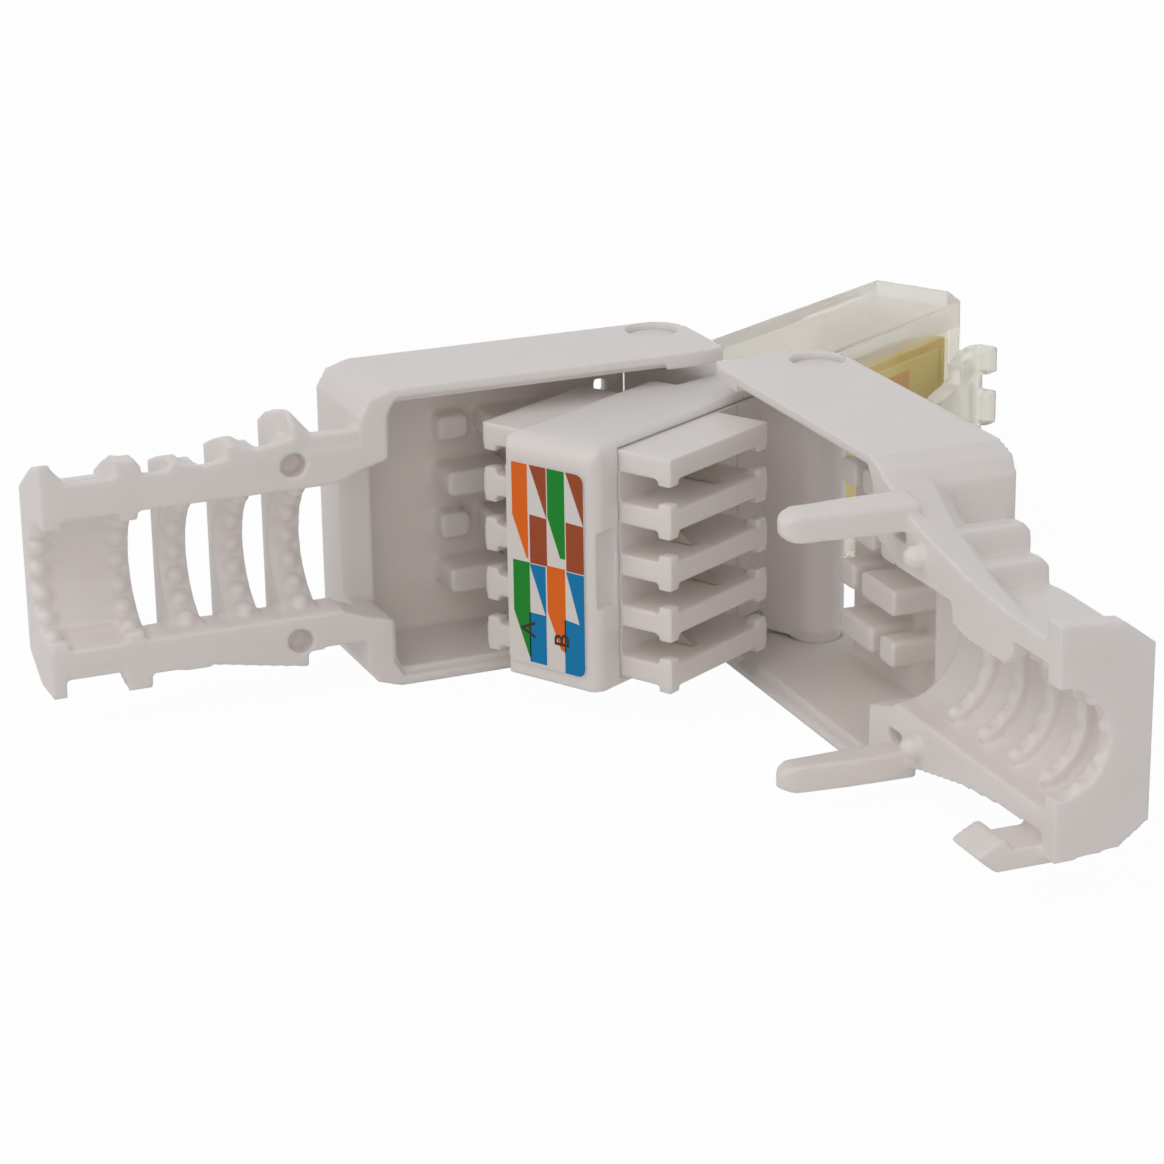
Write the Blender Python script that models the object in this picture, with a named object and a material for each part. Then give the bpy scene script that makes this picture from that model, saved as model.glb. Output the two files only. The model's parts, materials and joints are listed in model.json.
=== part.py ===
"""Toolless field termination network plug, standing open on a flat surface.

The plug is modelled in millimetres and written to Blender in metres. X runs across the plug
(the two covers meet on X = 0 when closed), Y runs from the cable end (minus) to the contact end
(plus), Z is up. The bottom faces of the two covers stand on Z = 0.

Each cover is drawn in its own closed position with three measures: u, the distance from its hinge
pin towards the cable end; v, the depth behind the plane in which the two covers meet; and z, the
height from the middle of the plug.
"""

import math

import bmesh
import bpy
from mathutils import Matrix, Vector

MM = 0.001

# Overall sizes that drive the rest
COVER_HALF_HEIGHT = 7.5
COVER_DEPTH = 6.5
COVER_LENGTH = 33.1
COVER_WALL = 0.75
RIM_GAP = 0.05
MIDDLE = COVER_HALF_HEIGHT
STAND_CENTRE = (6.4, 7.75, 0.0)

# Clearances between mating pieces
HINGE_CLEARANCE = 0.06
SLOT_CLEARANCE = 0.12
FIT_CLEARANCE = 0.05
SNAP_CLEARANCE = 0.10

# Hinge
PIN_DEPTH = 5.05
PIN_ALONG = 12.94
PIN_RADIUS = 1.28
BARREL_RADIUS = 1.42
OPEN_LEFT_DEG = 29.2
OPEN_RIGHT_DEG = 59.4

# Comb block
TOOTH_PITCH = 2.54
TOOTH_THICK = 1.05
TOOTH_LENGTH = 7.9
TOOTH_TIP = 5.6
TOOTH_LIP = 0.75
CORE_HALF = 2.62
CORE_END = 9.6

# Cap over the cable end of the comb
CAP_OVERHANG = 1.82
CAP_LEFT = -2.95
CAP_RIGHT = 2.65
CAP_HALF_HEIGHT = 6.0
CAP_ARM_LEFT = -1.05
CAP_ARM_END = 12.9
LABEL_THICK = 0.06

# Nose, the size of a standard eight way modular plug
NOSE_HALF_HEIGHT = 5.84
NOSE_LEFT = -5.05
NOSE_RIGHT = 1.75
NOSE_START = 14.6
NOSE_END = 33.9
NOSE_WALL = 0.9
NOSE_DRAFT = 0.5
CONTACT_PITCH = 1.02
CONTACT_THICK = 0.35
BOARD_THICK = 1.0
BOARD_LEFT = -0.75
BOARD_HALF = 3.85
CARRIER_END = 14.3

# Insulation displacing terminals
FORK_THICK = 0.4
FORK_FAR = 5.1
FORK_NEAR = 3.1


def material(name, colour, roughness, metallic=0.0, clear=0.0):
    """One finish, with the colour as linear red, green and blue."""
    made = bpy.data.materials.new(name)
    made.use_nodes = True
    shader = made.node_tree.nodes["Principled BSDF"]
    shader.inputs["Base Color"].default_value = (*colour, 1.0)
    shader.inputs["Roughness"].default_value = roughness
    shader.inputs["Metallic"].default_value = metallic
    shader.inputs["Transmission Weight"].default_value = clear
    made.diffuse_color = (*colour, 1.0)
    return made


def finish(bm, name):
    """Writes the collected faces to a mesh whose faces all point outwards."""
    bmesh.ops.recalc_face_normals(bm, faces=bm.faces)
    mesh = bpy.data.meshes.new(name)
    bm.to_mesh(mesh)
    bm.free()
    return mesh


def add_prism(bm, outline, axis, low, high):
    """A closed outline drawn across one axis and pushed from low to high along it, in mm.

    The outline's two numbers are the other two axes in the order x, y, z.
    """
    rings = []
    for level in (low, high):
        ring = []
        for a, b in outline:
            point = {"x": (level, a, b), "y": (a, level, b), "z": (a, b, level)}[axis]
            ring.append(bm.verts.new(Vector(point) * MM))
        rings.append(ring)
    count = len(outline)
    bm.faces.new(rings[0])
    bm.faces.new(rings[1])
    for i in range(count):
        j = (i + 1) % count
        bm.faces.new((rings[0][i], rings[0][j], rings[1][j], rings[1][i]))


def add_loft(bm, sections):
    """A closed body through equal rings of (x, y, z) points in mm."""
    rings = [[bm.verts.new(Vector(p) * MM) for p in ring] for ring in sections]
    count = len(rings[0])
    bm.faces.new(rings[0])
    bm.faces.new(rings[-1])
    for first, second in zip(rings, rings[1:]):
        for i in range(count):
            j = (i + 1) % count
            bm.faces.new((first[i], first[j], second[j]))
            bm.faces.new((first[i], second[j], second[i]))


def box_outline(a0, a1, b0, b1):
    """The four corners of a rectangle."""
    return [(a0, b0), (a1, b0), (a1, b1), (a0, b1)]


def soft_box(a0, a1, b0, b1, radius, steps=3):
    """A rectangle with rounded corners."""
    outline = []
    for ca, cb, start in (
        (a1 - radius, b0 + radius, -90),
        (a1 - radius, b1 - radius, 0),
        (a0 + radius, b1 - radius, 90),
        (a0 + radius, b0 + radius, 180),
    ):
        outline += arc(ca, cb, radius, start, start + 90, steps)
    return outline


def arc(ca, cb, radius, start_deg, end_deg, steps):
    """Points along a circular arc."""
    return [
        (
            ca + radius * math.cos(math.radians(start_deg + (end_deg - start_deg) * i / steps)),
            cb + radius * math.sin(math.radians(start_deg + (end_deg - start_deg) * i / steps)),
        )
        for i in range(steps + 1)
    ]


def circle(ca, cb, radius, sides):
    """A full circle as an outline."""
    return arc(ca, cb, radius, 0, 360, sides)[:-1]


class Piece:
    """One separate physical piece: a first solid, then solids added and taken away in order."""

    def __init__(self, name, finish_material, origin=(0.0, 0.0, MIDDLE), turn_deg=0.0):
        self.name = name
        self.material = finish_material
        self.origin = origin
        self.turn = turn_deg
        self.object = None
        self.steps = 0

    def start(self, build):
        """Makes the piece's own mesh from a function that fills a bmesh."""
        bm = bmesh.new()
        build(bm)
        self.object = bpy.data.objects.new(self.name, finish(bm, self.name))
        bpy.context.scene.collection.objects.link(self.object)
        self.object.data.materials.append(self.material)
        self.object.location = (Vector(self.origin) - Vector(STAND_CENTRE)) * MM
        self.object.rotation_euler = (0.0, 0.0, math.radians(self.turn))
        return self

    def change(self, operation, build):
        """Adds or takes away one helper solid."""
        self.steps += 1
        bm = bmesh.new()
        build(bm)
        label = f"{self.name}_helper_{self.steps}"
        helper = bpy.data.objects.new(label, finish(bm, label))
        helper.data.materials.append(self.material)
        bpy.context.scene.collection.objects.link(helper)
        helper.parent = self.object
        helper.hide_render = True
        helper.display_type = "WIRE"
        modifier = self.object.modifiers.new(label, "BOOLEAN")
        modifier.operation = operation
        modifier.solver = "EXACT"
        modifier.object = helper
        return self

    def add(self, build):
        """Joins one more solid on to the piece."""
        return self.change("UNION", build)

    def cut(self, build):
        """Takes one solid out of the piece."""
        return self.change("DIFFERENCE", build)

    def round_off(self, width, angle_deg=40, segments=1):
        """Breaks the sharp edges."""
        modifier = self.object.modifiers.new("edges", "BEVEL")
        modifier.width = width * MM
        modifier.segments = segments
        modifier.limit_method = "ANGLE"
        modifier.angle_limit = math.radians(angle_deg)
        return self

    def smooth(self):
        """Shades a round piece smooth."""
        for face in self.object.data.polygons:
            face.use_smooth = True
        return self


class CoverFrame:
    """Turns a cover's own measures u, v, z into its mesh, pin at the origin, drawn closed."""

    def __init__(self, side):
        self.side = side

    def x(self, v):
        return self.side * (v + RIM_GAP - PIN_DEPTH)

    def plan(self, outline):
        """An outline in u and v, ready for a prism along z."""
        return [(self.x(v), -u) for u, v in outline]

    def section(self, outline):
        """An outline in v and z, ready for a prism along y."""
        return [(self.x(v), z) for v, z in outline]

    def elevation(self, outline):
        """An outline in u and z, ready for a prism along x."""
        return [(-u, z) for u, z in outline]

    def along_z(self, bm, outline, low, high):
        add_prism(bm, self.plan(outline), "z", low, high)

    def along_u(self, bm, outline, low, high):
        add_prism(bm, self.section(outline), "y", -high, -low)

    def along_v(self, bm, outline, low, high):
        add_prism(bm, self.elevation(outline), "x", self.x(low), self.x(high))

    def ring(self, u, outline):
        """One ring of a loft, from an outline in v and z at distance u."""
        return [(self.x(v), -u, z) for v, z in outline]


# Shared measures of the two covers
BOX_END = 17.45
BOX_END_WALL = 1.65
BOX_CORNER = 1.2
CAVITY_END = BOX_END - BOX_END_WALL
HINGE_END = -1.8
WALL_INNER = COVER_HALF_HEIGHT - COVER_WALL
BACK_INNER = COVER_DEPTH - COVER_WALL
LIP_STEP = 0.28
LIP_DEPTH = 0.45
PEG_ALONG = 20.9
PEG_HEIGHT = 4.4
PEG_RADIUS = 0.53
PEG_LENGTH = 0.8
PRONG_HALF_LOW = COVER_HALF_HEIGHT - 2.35
PRONG_HALF_HIGH = COVER_HALF_HEIGHT - 0.9
RECESS_END = 19.95
CABLE_RADIUS = 3.2
COLLAR_RADIUS = 2.45
RAIL_HALF = 4.95
END_PLATE = 0.85
COLLAR_THICK = 1.1
COLLAR_HALF = 5.2
HOOK_TOP = -4.7
HOOK_BARB = 0.52
BUMP_RADIUS = 0.5
HOOK_FROM, HOOK_TO = COVER_LENGTH - 3.4, COVER_LENGTH - 1.05


def box_outline_in_u():
    """Side view of the box part of a cover in u and z, with its sloping cable end corners."""
    h, c = COVER_HALF_HEIGHT, COVER_HALF_HEIGHT - BOX_CORNER
    top = [(HINGE_END, h), (BOX_END - 1.6, h), (BOX_END - 0.5, h - 0.35), (BOX_END, c)]
    return [(u, -z) for u, z in top] + [(u, z) for u, z in reversed(top)]


def cover_box(frame):
    """The block that the box part is carved from."""

    def build(bm):
        frame.along_v(bm, box_outline_in_u(), 0.0, COVER_DEPTH)

    return build


def hinge_corner_cut(frame):
    """Everything outside the rounded hinge corner."""

    def build(bm):
        corner = [(HINGE_END - 1, COVER_DEPTH + 1), (HINGE_END - 1, PIN_DEPTH - 0.35)]
        corner += arc(0.0, PIN_DEPTH - 0.35, 1.8, 180, 90, 6)
        corner += [(0.0, COVER_DEPTH + 1)]
        frame.along_z(bm, corner, -COVER_HALF_HEIGHT - 1, COVER_HALF_HEIGHT + 1)
        swing = PIN_DEPTH - RIM_GAP
        toe = arc(0.0, swing, swing, 270, 244, 6) + [(HINGE_END - 1, -1), (0.0, -1)]
        frame.along_z(bm, toe, -COVER_HALF_HEIGHT - 1, COVER_HALF_HEIGHT + 1)

    return build


def cavity_cut(frame):
    """The room for the comb, open on the meeting plane and at the hinge end."""

    def build(bm):
        h = WALL_INNER
        top = [(HINGE_END - 1, h), (CAVITY_END - 0.3, h), (CAVITY_END, h - 0.65)]
        inner = [(u, -z) for u, z in top] + [(u, z) for u, z in reversed(top)]
        frame.along_v(bm, inner, -1.0, BACK_INNER)

    return build


def hinge_slot_cut(frame, hinge_end_u):
    """The opening in the back wall through which the hinge barrel shows."""

    def build(bm):
        slot = box_outline(HINGE_END - 1, hinge_end_u, -WALL_INNER, WALL_INNER)
        frame.along_v(bm, slot, BACK_INNER - 1, COVER_DEPTH + 1)

    return build


def barrel_cut(frame):
    """The round room that the hinge barrel turns in."""

    def build(bm):
        room = circle(0.0, PIN_DEPTH - RIM_GAP, BARREL_RADIUS + 2 * HINGE_CLEARANCE, 28)
        frame.along_z(bm, room, -WALL_INNER + 0.01, WALL_INNER - 0.01)

    return build


def lip_cut(frame):
    """The thin step that runs round the inside of the rim."""

    def build(bm):
        h = WALL_INNER + LIP_STEP
        top = [(HINGE_END + 3.2, h), (CAVITY_END - 0.2, h), (CAVITY_END + LIP_STEP, h - 0.8)]
        step = [(u, -z) for u, z in top] + [(u, z) for u, z in reversed(top)]
        frame.along_v(bm, step, -1.0, LIP_DEPTH)

    return build


def pin_hole_cut(frame):
    """The two round bearing holes in the top and bottom walls."""

    def build(bm):
        hole = circle(0.0, PIN_DEPTH - RIM_GAP, PIN_RADIUS + HINGE_CLEARANCE, 28)
        frame.along_z(bm, hole, -COVER_HALF_HEIGHT - 1, COVER_HALF_HEIGHT + 1)

    return build


def neck_cut(frame):
    """The narrow passage from the box into the cable channel."""

    def build(bm):
        r = CABLE_RADIUS
        top = [(CAVITY_END - 0.5, r + 1.4), (CAVITY_END + 0.4, r + 0.85)]
        top += [(CAVITY_END + 1.7, r + 0.5), (CAVITY_END + 2.8, r + 0.05)]
        neck = [(u, -z) for u, z in top] + [(u, z) for u, z in reversed(top)]
        frame.along_v(bm, neck, -1.0, r + 0.2)

    return build


def slot_heights():
    """Middle heights of the four slots between the five teeth."""
    return [TOOTH_PITCH * (1.5 - i) for i in range(4)]


def fork_along(side, number):
    """How far along the comb a slot's terminal stands: neighbours are staggered, and so are the sides."""
    return FORK_FAR if (number % 2 == 0) == (side > 0) else FORK_NEAR


def press_blocks(frame):
    """The pairs of blocks that push the wires into the terminals, one pair to a slot."""

    def build(bm):
        half = (TOOTH_PITCH - TOOTH_THICK) / 2 - SLOT_CLEARANCE
        near = PIN_ALONG - TOOTH_LENGTH + TOOTH_LIP + 0.16
        far = PIN_ALONG - TOOTH_LIP - 0.44
        for number, z in enumerate(slot_heights()):
            fork = PIN_ALONG - fork_along(frame.side, number)
            short = frame.side < 0 and far - fork < 2.5
            for low, high, depth in ((near, fork - 0.35, 3.4), (fork + 0.35, far, 4.6 if short else 3.4)):
                shape = soft_box(low, high, z - half, z + half, 0.25, 2)
                frame.along_v(bm, shape, depth, BACK_INNER + 0.3)

    return build


def half_round(radius, steps=12):
    """Half a circle opening on the meeting plane, in v and z."""
    return [(-1.0, -radius)] + arc(0.0, 0.0, radius, -90, 90, steps) + [(-1.0, radius)]


# Left cover tail: the cross plates stand at even steps. Each top is a saw tooth that rises towards
# the cable end, given as outlines in v and z on the hinge side and on the cable side.
PLATE_FIRST = 19.68
PLATE_PITCH = 2.85
PLATE_THICK = 1.2
PLATE_TOPS = (
    (((4.5, 4.6), (2.8, 5.3), (0.7, 5.9), (0.0, 5.85)), ((4.5, 5.6), (2.8, 6.5), (0.8, 7.0), (0.0, 6.4))),
    (((4.5, 4.0), (2.6, 4.8), (0.7, 5.4), (0.0, 5.35)), ((4.5, 4.6), (2.6, 5.45), (0.8, 6.05), (0.0, 5.75))),
    (((4.5, 3.8), (2.6, 4.5), (0.7, 4.95), (0.0, 4.98)), ((4.5, 4.1), (2.6, 4.9), (0.8, 5.45), (0.0, 5.25))),
    (((4.4, 4.0), (3.0, 4.75), (1.2, 5.45), (0.0, 5.4)), ((4.4, 4.1), (3.0, 4.9), (1.2, 5.75), (0.0, 5.8))),
)
PLATE_FEET = (
    ((0.0, -5.5), (1.4, -5.5), (4.4, -4.4)),
    ((0.0, -5.1), (1.4, -5.1), (4.4, -4.1)),
    ((0.0, -5.05), (1.4, -5.05), (4.4, -4.0)),
    ((0.0, -5.6), (1.3, -5.4), (4.4, -4.0)),
)
END_TOPS = (((4.25, 3.75), (2.6, 4.55), (1.65, 4.85), (0.0, 5.0)), ((4.25, 3.95), (2.6, 4.95), (1.65, 5.5), (0.0, 6.05)))
END_FOOT = ((0.0, -5.47), (2.26, -5.47), (4.25, -4.26))


def left_rails(frame):
    """The two long bars that carry the cross plates."""

    def build(bm):
        end, inner = COVER_LENGTH - 0.4, CABLE_RADIUS - 0.05
        recess = PRONG_HALF_LOW - 2 * SNAP_CLEARANCE
        for s in (1, -1):
            bar = [(BOX_END - 0.8, recess), (RECESS_END - 0.05, recess), (RECESS_END + 0.15, 5.85)]
            bar += [(23.0, 5.35), (25.2, RAIL_HALF), (end, RAIL_HALF)]
            bar += [(end, inner), (BOX_END - 0.8, inner)]
            frame.along_v(bm, [(u, s * z) for u, z in bar], 0.0, 2.1)

    return build


def left_plates(frame):
    """The cross plates with their saw tooth grip edges, and the end plate."""

    def build(bm):
        for i, ((near, far), foot) in enumerate(zip(PLATE_TOPS, PLATE_FEET)):
            u0 = PLATE_FIRST + i * PLATE_PITCH
            if u0 + PLATE_THICK < HOOK_FROM + 0.1:
                rings = [frame.ring(u0, near + foot), frame.ring(u0 + PLATE_THICK, far + foot)]
                add_loft(bm, rings)
        places = (COVER_LENGTH - END_PLATE, COVER_LENGTH)
        add_loft(bm, [frame.ring(u, top + END_FOOT) for u, top in zip(places, END_TOPS)])

    return build


def hook_path_cut(frame):
    """Room under the lower bar for the other cover's snap hook."""

    def build(bm):
        low, high = -COVER_HALF_HEIGHT - 1, HOOK_TOP + HOOK_BARB + SNAP_CLEARANCE
        strip = box_outline(HOOK_FROM - 0.15, HOOK_TO + 0.35, low, high)
        frame.along_v(bm, strip, -1.0, COVER_DEPTH)

    return build


def prong_path_cut(frame):
    """Room for the other cover's prongs, which swing in ahead of the first cross plate."""

    def build(bm):
        path = [(BOX_END + 0.02, -1.0), (BOX_END + 0.02, 7.0), (RECESS_END - 0.05, 7.0)]
        path += [(RECESS_END, 4.2), (RECESS_END + 0.2, 2.5), (RECESS_END + 0.45, 1.0)]
        path += [(RECESS_END + 0.55, -1.0)]
        for s in (1, -1):
            low, high = s * (PRONG_HALF_LOW - SNAP_CLEARANCE), s * (COVER_HALF_HEIGHT + 1)
            frame.along_z(bm, path, min(low, high), max(low, high))

    return build


def left_end_back(frame):
    """The closed back between the last two plates."""

    def build(bm):
        half = [(1.8, 4.45), (3.2, 4.3), (4.2, 3.8)]
        outline = half + [(v, -z) for v, z in reversed(half)]
        frame.along_u(bm, outline, COVER_LENGTH - 4.3, COVER_LENGTH - 0.7)

    return build


def channel_cut(frame, u0, u1, radius):
    """The half round room for the cable jacket."""

    def build(bm):
        frame.along_u(bm, half_round(radius), u0, u1)

    return build


def bumps(frame, places, radius, reach):
    """The rows of small round teeth that bite into the jacket."""

    def build(bm):
        for u in places:
            for deg in range(-66, 67, 22):
                a = math.radians(deg)
                v, z = radius * math.cos(a), radius * math.sin(a)
                bmesh.ops.create_icosphere(
                    bm,
                    subdivisions=1,
                    radius=reach * MM,
                    matrix=matrix_at((frame.x(v), -u, z)),
                )

    return build


def matrix_at(point):
    """A move to a point given in mm."""
    return Matrix.Translation(Vector(point) * MM)


def peg_holes(frame):
    """Blind holes that take the other cover's pegs."""

    def build(bm):
        for s in (1, -1):
            hole = circle(PEG_ALONG, s * PEG_HEIGHT, PEG_RADIUS + FIT_CLEARANCE, 16)
            frame.along_v(bm, hole, -1.0, PEG_LENGTH + 0.2)

    return build


def build_left_cover(finish_material):
    """The cover with the open ribbed cable clamp."""
    frame = CoverFrame(-1)
    origin = (-PIN_DEPTH, PIN_ALONG, MIDDLE)
    cover = Piece("cover_ribbed", finish_material, origin, -OPEN_LEFT_DEG)
    cover.start(cover_box(frame))
    cover.cut(cavity_cut(frame)).cut(hinge_slot_cut(frame, 1.1)).cut(barrel_cut(frame))
    cover.add(left_rails(frame)).add(left_plates(frame)).cut(prong_path_cut(frame))
    cover.add(left_end_back(frame)).cut(hook_path_cut(frame)).cut(neck_cut(frame))
    cover.cut(channel_cut(frame, BOX_END - 0.45, COVER_LENGTH + 1, CABLE_RADIUS))
    places = [PLATE_FIRST + PLATE_THICK / 2 + i * PLATE_PITCH for i in range(len(PLATE_TOPS))]
    places = [u for u in places if u < HOOK_FROM] + [COVER_LENGTH - 0.6]
    cover.add(bumps(frame, places, CABLE_RADIUS + 0.1, BUMP_RADIUS))
    cover.cut(hinge_corner_cut(frame)).cut(lip_cut(frame)).cut(pin_hole_cut(frame))
    cover.cut(peg_holes(frame)).add(press_blocks(frame))

    def window(bm):
        frame.along_v(bm, box_outline(2.25, 2.9, 4.2, 5.0), BACK_INNER - 0.7, COVER_DEPTH + 0.5)

    cover.cut(window)
    return cover


# Right cover tail: half height at the rim, and saw tooth steps on the back, both against u
RIM_LINE = ((15.4, 7.45), (16.6, 7.1), (17.5, 6.8), (19.0, 6.1), (21.0, 5.5), (25.0, 4.7), (28.8, 4.3),
            (33.0, 4.2))
BACK_LINE = ((16.8, 6.3), (17.6, 5.95), (21.0, 5.3), (23.9, 4.65), (28.0, 4.45), (33.1, 4.4))
STEP_LINE = ((16.8, 4.7), (17.6, 4.72), (20.95, 5.3), (21.0, 4.25), (23.85, 4.62), (23.9, 3.8), (33.0, 3.85))
RAMP_DEPTH_LINE = ((17.0, 2.3), (24.0, 1.4), (28.0, 0.9), (33.0, 0.9))


def along(line, u):
    """The value of a broken line at u."""
    for (u0, a), (u1, b) in zip(line, line[1:]):
        if u <= u1:
            return a + (b - a) * max(0.0, (u - u0) / (u1 - u0))
    return line[-1][1]


def stations(line, low, high):
    """Where a loft between low and high needs a ring to follow a broken line."""
    return [low] + [u for u, _ in line if low + 0.02 < u < high - 0.02] + [high]


def right_ramp(frame):
    """The smooth band along the rim that tapers from the box down to the cable end."""

    def build(bm):
        rings = []
        for u in stations(RIM_LINE, BOX_END - 2.0, COVER_LENGTH - 0.6):
            z = min(along(RIM_LINE, u), COVER_HALF_HEIGHT - 0.02)
            v = along(RAMP_DEPTH_LINE, u)
            half = [(0.0, z), (v, z - 0.25), (v + 0.9, z - 0.95)]
            rings.append(frame.ring(u, half + [(a, -b) for a, b in reversed(half)]))
        add_loft(bm, rings)

    return build


def right_steps(frame):
    """The back of the tail with its three finger steps."""

    def build(bm):
        rings = []
        for u in stations(STEP_LINE, BOX_END - 0.65, COVER_LENGTH - 0.6):
            z, v = along(STEP_LINE, u), min(along(BACK_LINE, u), COVER_DEPTH - 0.05)
            half = [(1.0, z), (v - 0.35, z), (v, z - 0.4)]
            rings.append(frame.ring(u, half + [(a, -b) for a, b in reversed(half)]))
        add_loft(bm, rings)

    return build


def right_collar(frame):
    """The end plate with chamfered back corners."""

    def build(bm):
        half = [(0.0, COLLAR_HALF), (3.0, COLLAR_HALF - 0.3), (4.42, COLLAR_HALF - 1.35)]
        outline = half + [(v, -z) for v, z in reversed(half)]
        frame.along_u(bm, outline, COVER_LENGTH - COLLAR_THICK, COVER_LENGTH)

    return build


def right_tab(frame):
    """The lip over the upper edge of the cable channel."""

    def build(bm):
        r = CABLE_RADIUS
        low, high = COVER_LENGTH - 9.5, COVER_LENGTH - 3.9
        tab = [(low, r + 0.4), (low + 0.2, 2.3), (low + 1.6, 2.0), (high - 0.8, 2.0)]
        tab += [(high - 0.2, 2.5), (high, r + 0.4)]
        frame.along_v(bm, tab, 0.0, 0.9)

    return build


def jacket_ribs(frame, places):
    """The half round ridges that bite into the jacket."""

    def build(bm):
        outer, inner = CABLE_RADIUS + 0.3, CABLE_RADIUS - 0.55
        ring = arc(0.0, 0.0, outer, -66, 66, 12) + arc(0.0, 0.0, inner, 66, -66, 12)
        for u in places:
            frame.along_u(bm, ring, u - 0.42, u + 0.42)

    return build


def right_pegs(frame):
    """The two tapered pegs that drop into the other cover."""

    def build(bm):
        for s in (1, -1):
            rings = []
            for v, r in ((0.6, PEG_RADIUS), (-PEG_LENGTH * 0.55, PEG_RADIUS - 0.02), (-PEG_LENGTH, PEG_RADIUS * 0.55)):
                rings.append([(frame.x(v), -a, z) for a, z in circle(PEG_ALONG, s * PEG_HEIGHT, r, 16)])
            add_loft(bm, rings)

    return build


def right_prongs(frame):
    """The two long guide prongs, tapering to a rounded tip."""

    def build(bm):
        low, high = PRONG_HALF_LOW, PRONG_HALF_HIGH
        for s in (1, -1):
            rings = []
            for v, far, near, drop in (
                (0.6, 18.1, 19.75, 0.0),
                (-2.4, 18.15, 19.65, 0.0),
                (-5.1, 18.25, 19.4, 0.0),
                (-5.55, 18.35, 19.25, 0.15),
                (-5.75, 18.5, 19.1, 0.4),
            ):
                ring = [(far, high - drop), (near, high - 0.2 - drop), (near, low + drop), (far, low + drop)]
                rings.append([(frame.x(v), -u, s * z) for u, z in ring])
            add_loft(bm, rings)

    return build


def right_hook(frame):
    """The snap hook that reaches under the other cover's lower bar."""

    def build(bm):
        top, barb = HOOK_TOP, HOOK_TOP + HOOK_BARB
        outline = [(1.4, -3.7), (0.4, -3.7), (0.4, top), (-1.3, top), (-1.6, barb - 0.06), (-1.85, barb)]
        outline += [(-2.9, top - 0.07), (-2.9, top - 0.2), (-2.1, top - 0.88), (1.4, top - 0.88)]
        frame.along_u(bm, outline, HOOK_FROM, HOOK_TO)

    return build


def build_right_cover(finish_material):
    """The cover with the closed cable clamp, the pegs, the prongs and the snap hook."""
    frame = CoverFrame(1)
    origin = (PIN_DEPTH, PIN_ALONG, MIDDLE)
    cover = Piece("cover_hooked", finish_material, origin, OPEN_RIGHT_DEG)
    cover.start(cover_box(frame))
    cover.cut(cavity_cut(frame)).cut(hinge_slot_cut(frame, 2.75))
    cover.add(right_ramp(frame)).add(right_steps(frame)).add(right_collar(frame))
    cover.cut(cavity_cut(frame)).cut(neck_cut(frame))
    cover.cut(channel_cut(frame, BOX_END - 0.45, COVER_LENGTH - COLLAR_THICK + 0.1, CABLE_RADIUS))
    cover.cut(channel_cut(frame, COVER_LENGTH - COLLAR_THICK, COVER_LENGTH + 1, COLLAR_RADIUS))
    ribs = [u for u in (22.2, 24.9, 27.6, 30.3) if u < COVER_LENGTH - 2]
    cover.add(jacket_ribs(frame, ribs)).add(bumps(frame, ribs, CABLE_RADIUS - 0.4, 0.42))
    cover.add(right_tab(frame))
    cover.cut(hinge_corner_cut(frame)).cut(lip_cut(frame)).cut(pin_hole_cut(frame))
    cover.add(press_blocks(frame)).add(right_pegs(frame)).add(right_prongs(frame))
    cover.add(right_hook(frame))
    return cover


def cap_room():
    """Half the height of the room inside the cap."""
    return TOOTH_PITCH * 2 + TOOTH_THICK / 2 + FIT_CLEARANCE


def cap_arm(margin, start):
    """Plan of the two arms of the cap that lie on the hinge carrier."""
    left, end = CAP_ARM_LEFT - margin, CAP_ARM_END + margin
    return [(left, start), (CAP_RIGHT + margin, start), (CAP_RIGHT + margin, end), (left + 0.5, end)]


def build_hinge_carrier(finish_material):
    """The white frame that joins the comb to the nose and carries both hinge pins."""
    top, front = WALL_INNER - 0.5, PIN_ALONG - BARREL_RADIUS + 0.04
    start, low = CORE_END + FIT_CLEARANCE, CAP_HALF_HEIGHT - 0.02

    def body(bm):
        plan = [(-3.2, start), (CAP_RIGHT, start), (CAP_RIGHT, front)]
        plan += [(PIN_DEPTH, front), (PIN_DEPTH + 0.5, PIN_ALONG), (5.2, CARRIER_END)]
        plan += [(-5.2, CARRIER_END), (-PIN_DEPTH - 0.5, PIN_ALONG), (-PIN_DEPTH, front), (-3.2, front)]
        add_prism(bm, plan, "z", -low, low)

    def arm_seats(bm):
        plan = cap_arm(FIT_CLEARANCE, start - 1)
        seat = cap_room() - FIT_CLEARANCE
        add_prism(bm, plan, "z", seat, top + 1)
        add_prism(bm, plan, "z", -top - 1, -seat)

    def shoulder(bm):
        plan = box_outline(-9, CAP_ARM_LEFT + 0.2, start - 1, front - 0.03)
        add_prism(bm, plan, "z", 5.0, top + 1)
        add_prism(bm, plan, "z", -top - 1, -5.0)

    def barrels(bm):
        for s in (1, -1):
            add_prism(bm, circle(s * PIN_DEPTH, PIN_ALONG, BARREL_RADIUS, 28), "z", -top, top)

    def pins(bm):
        reach = COVER_HALF_HEIGHT - 0.12
        for s in (1, -1):
            add_prism(bm, circle(s * PIN_DEPTH, PIN_ALONG, PIN_RADIUS, 28), "z", -reach, reach)

    piece = Piece("hinge_carrier", finish_material).start(body).cut(arm_seats).cut(shoulder)
    return piece.add(barrels).add(pins)


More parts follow.
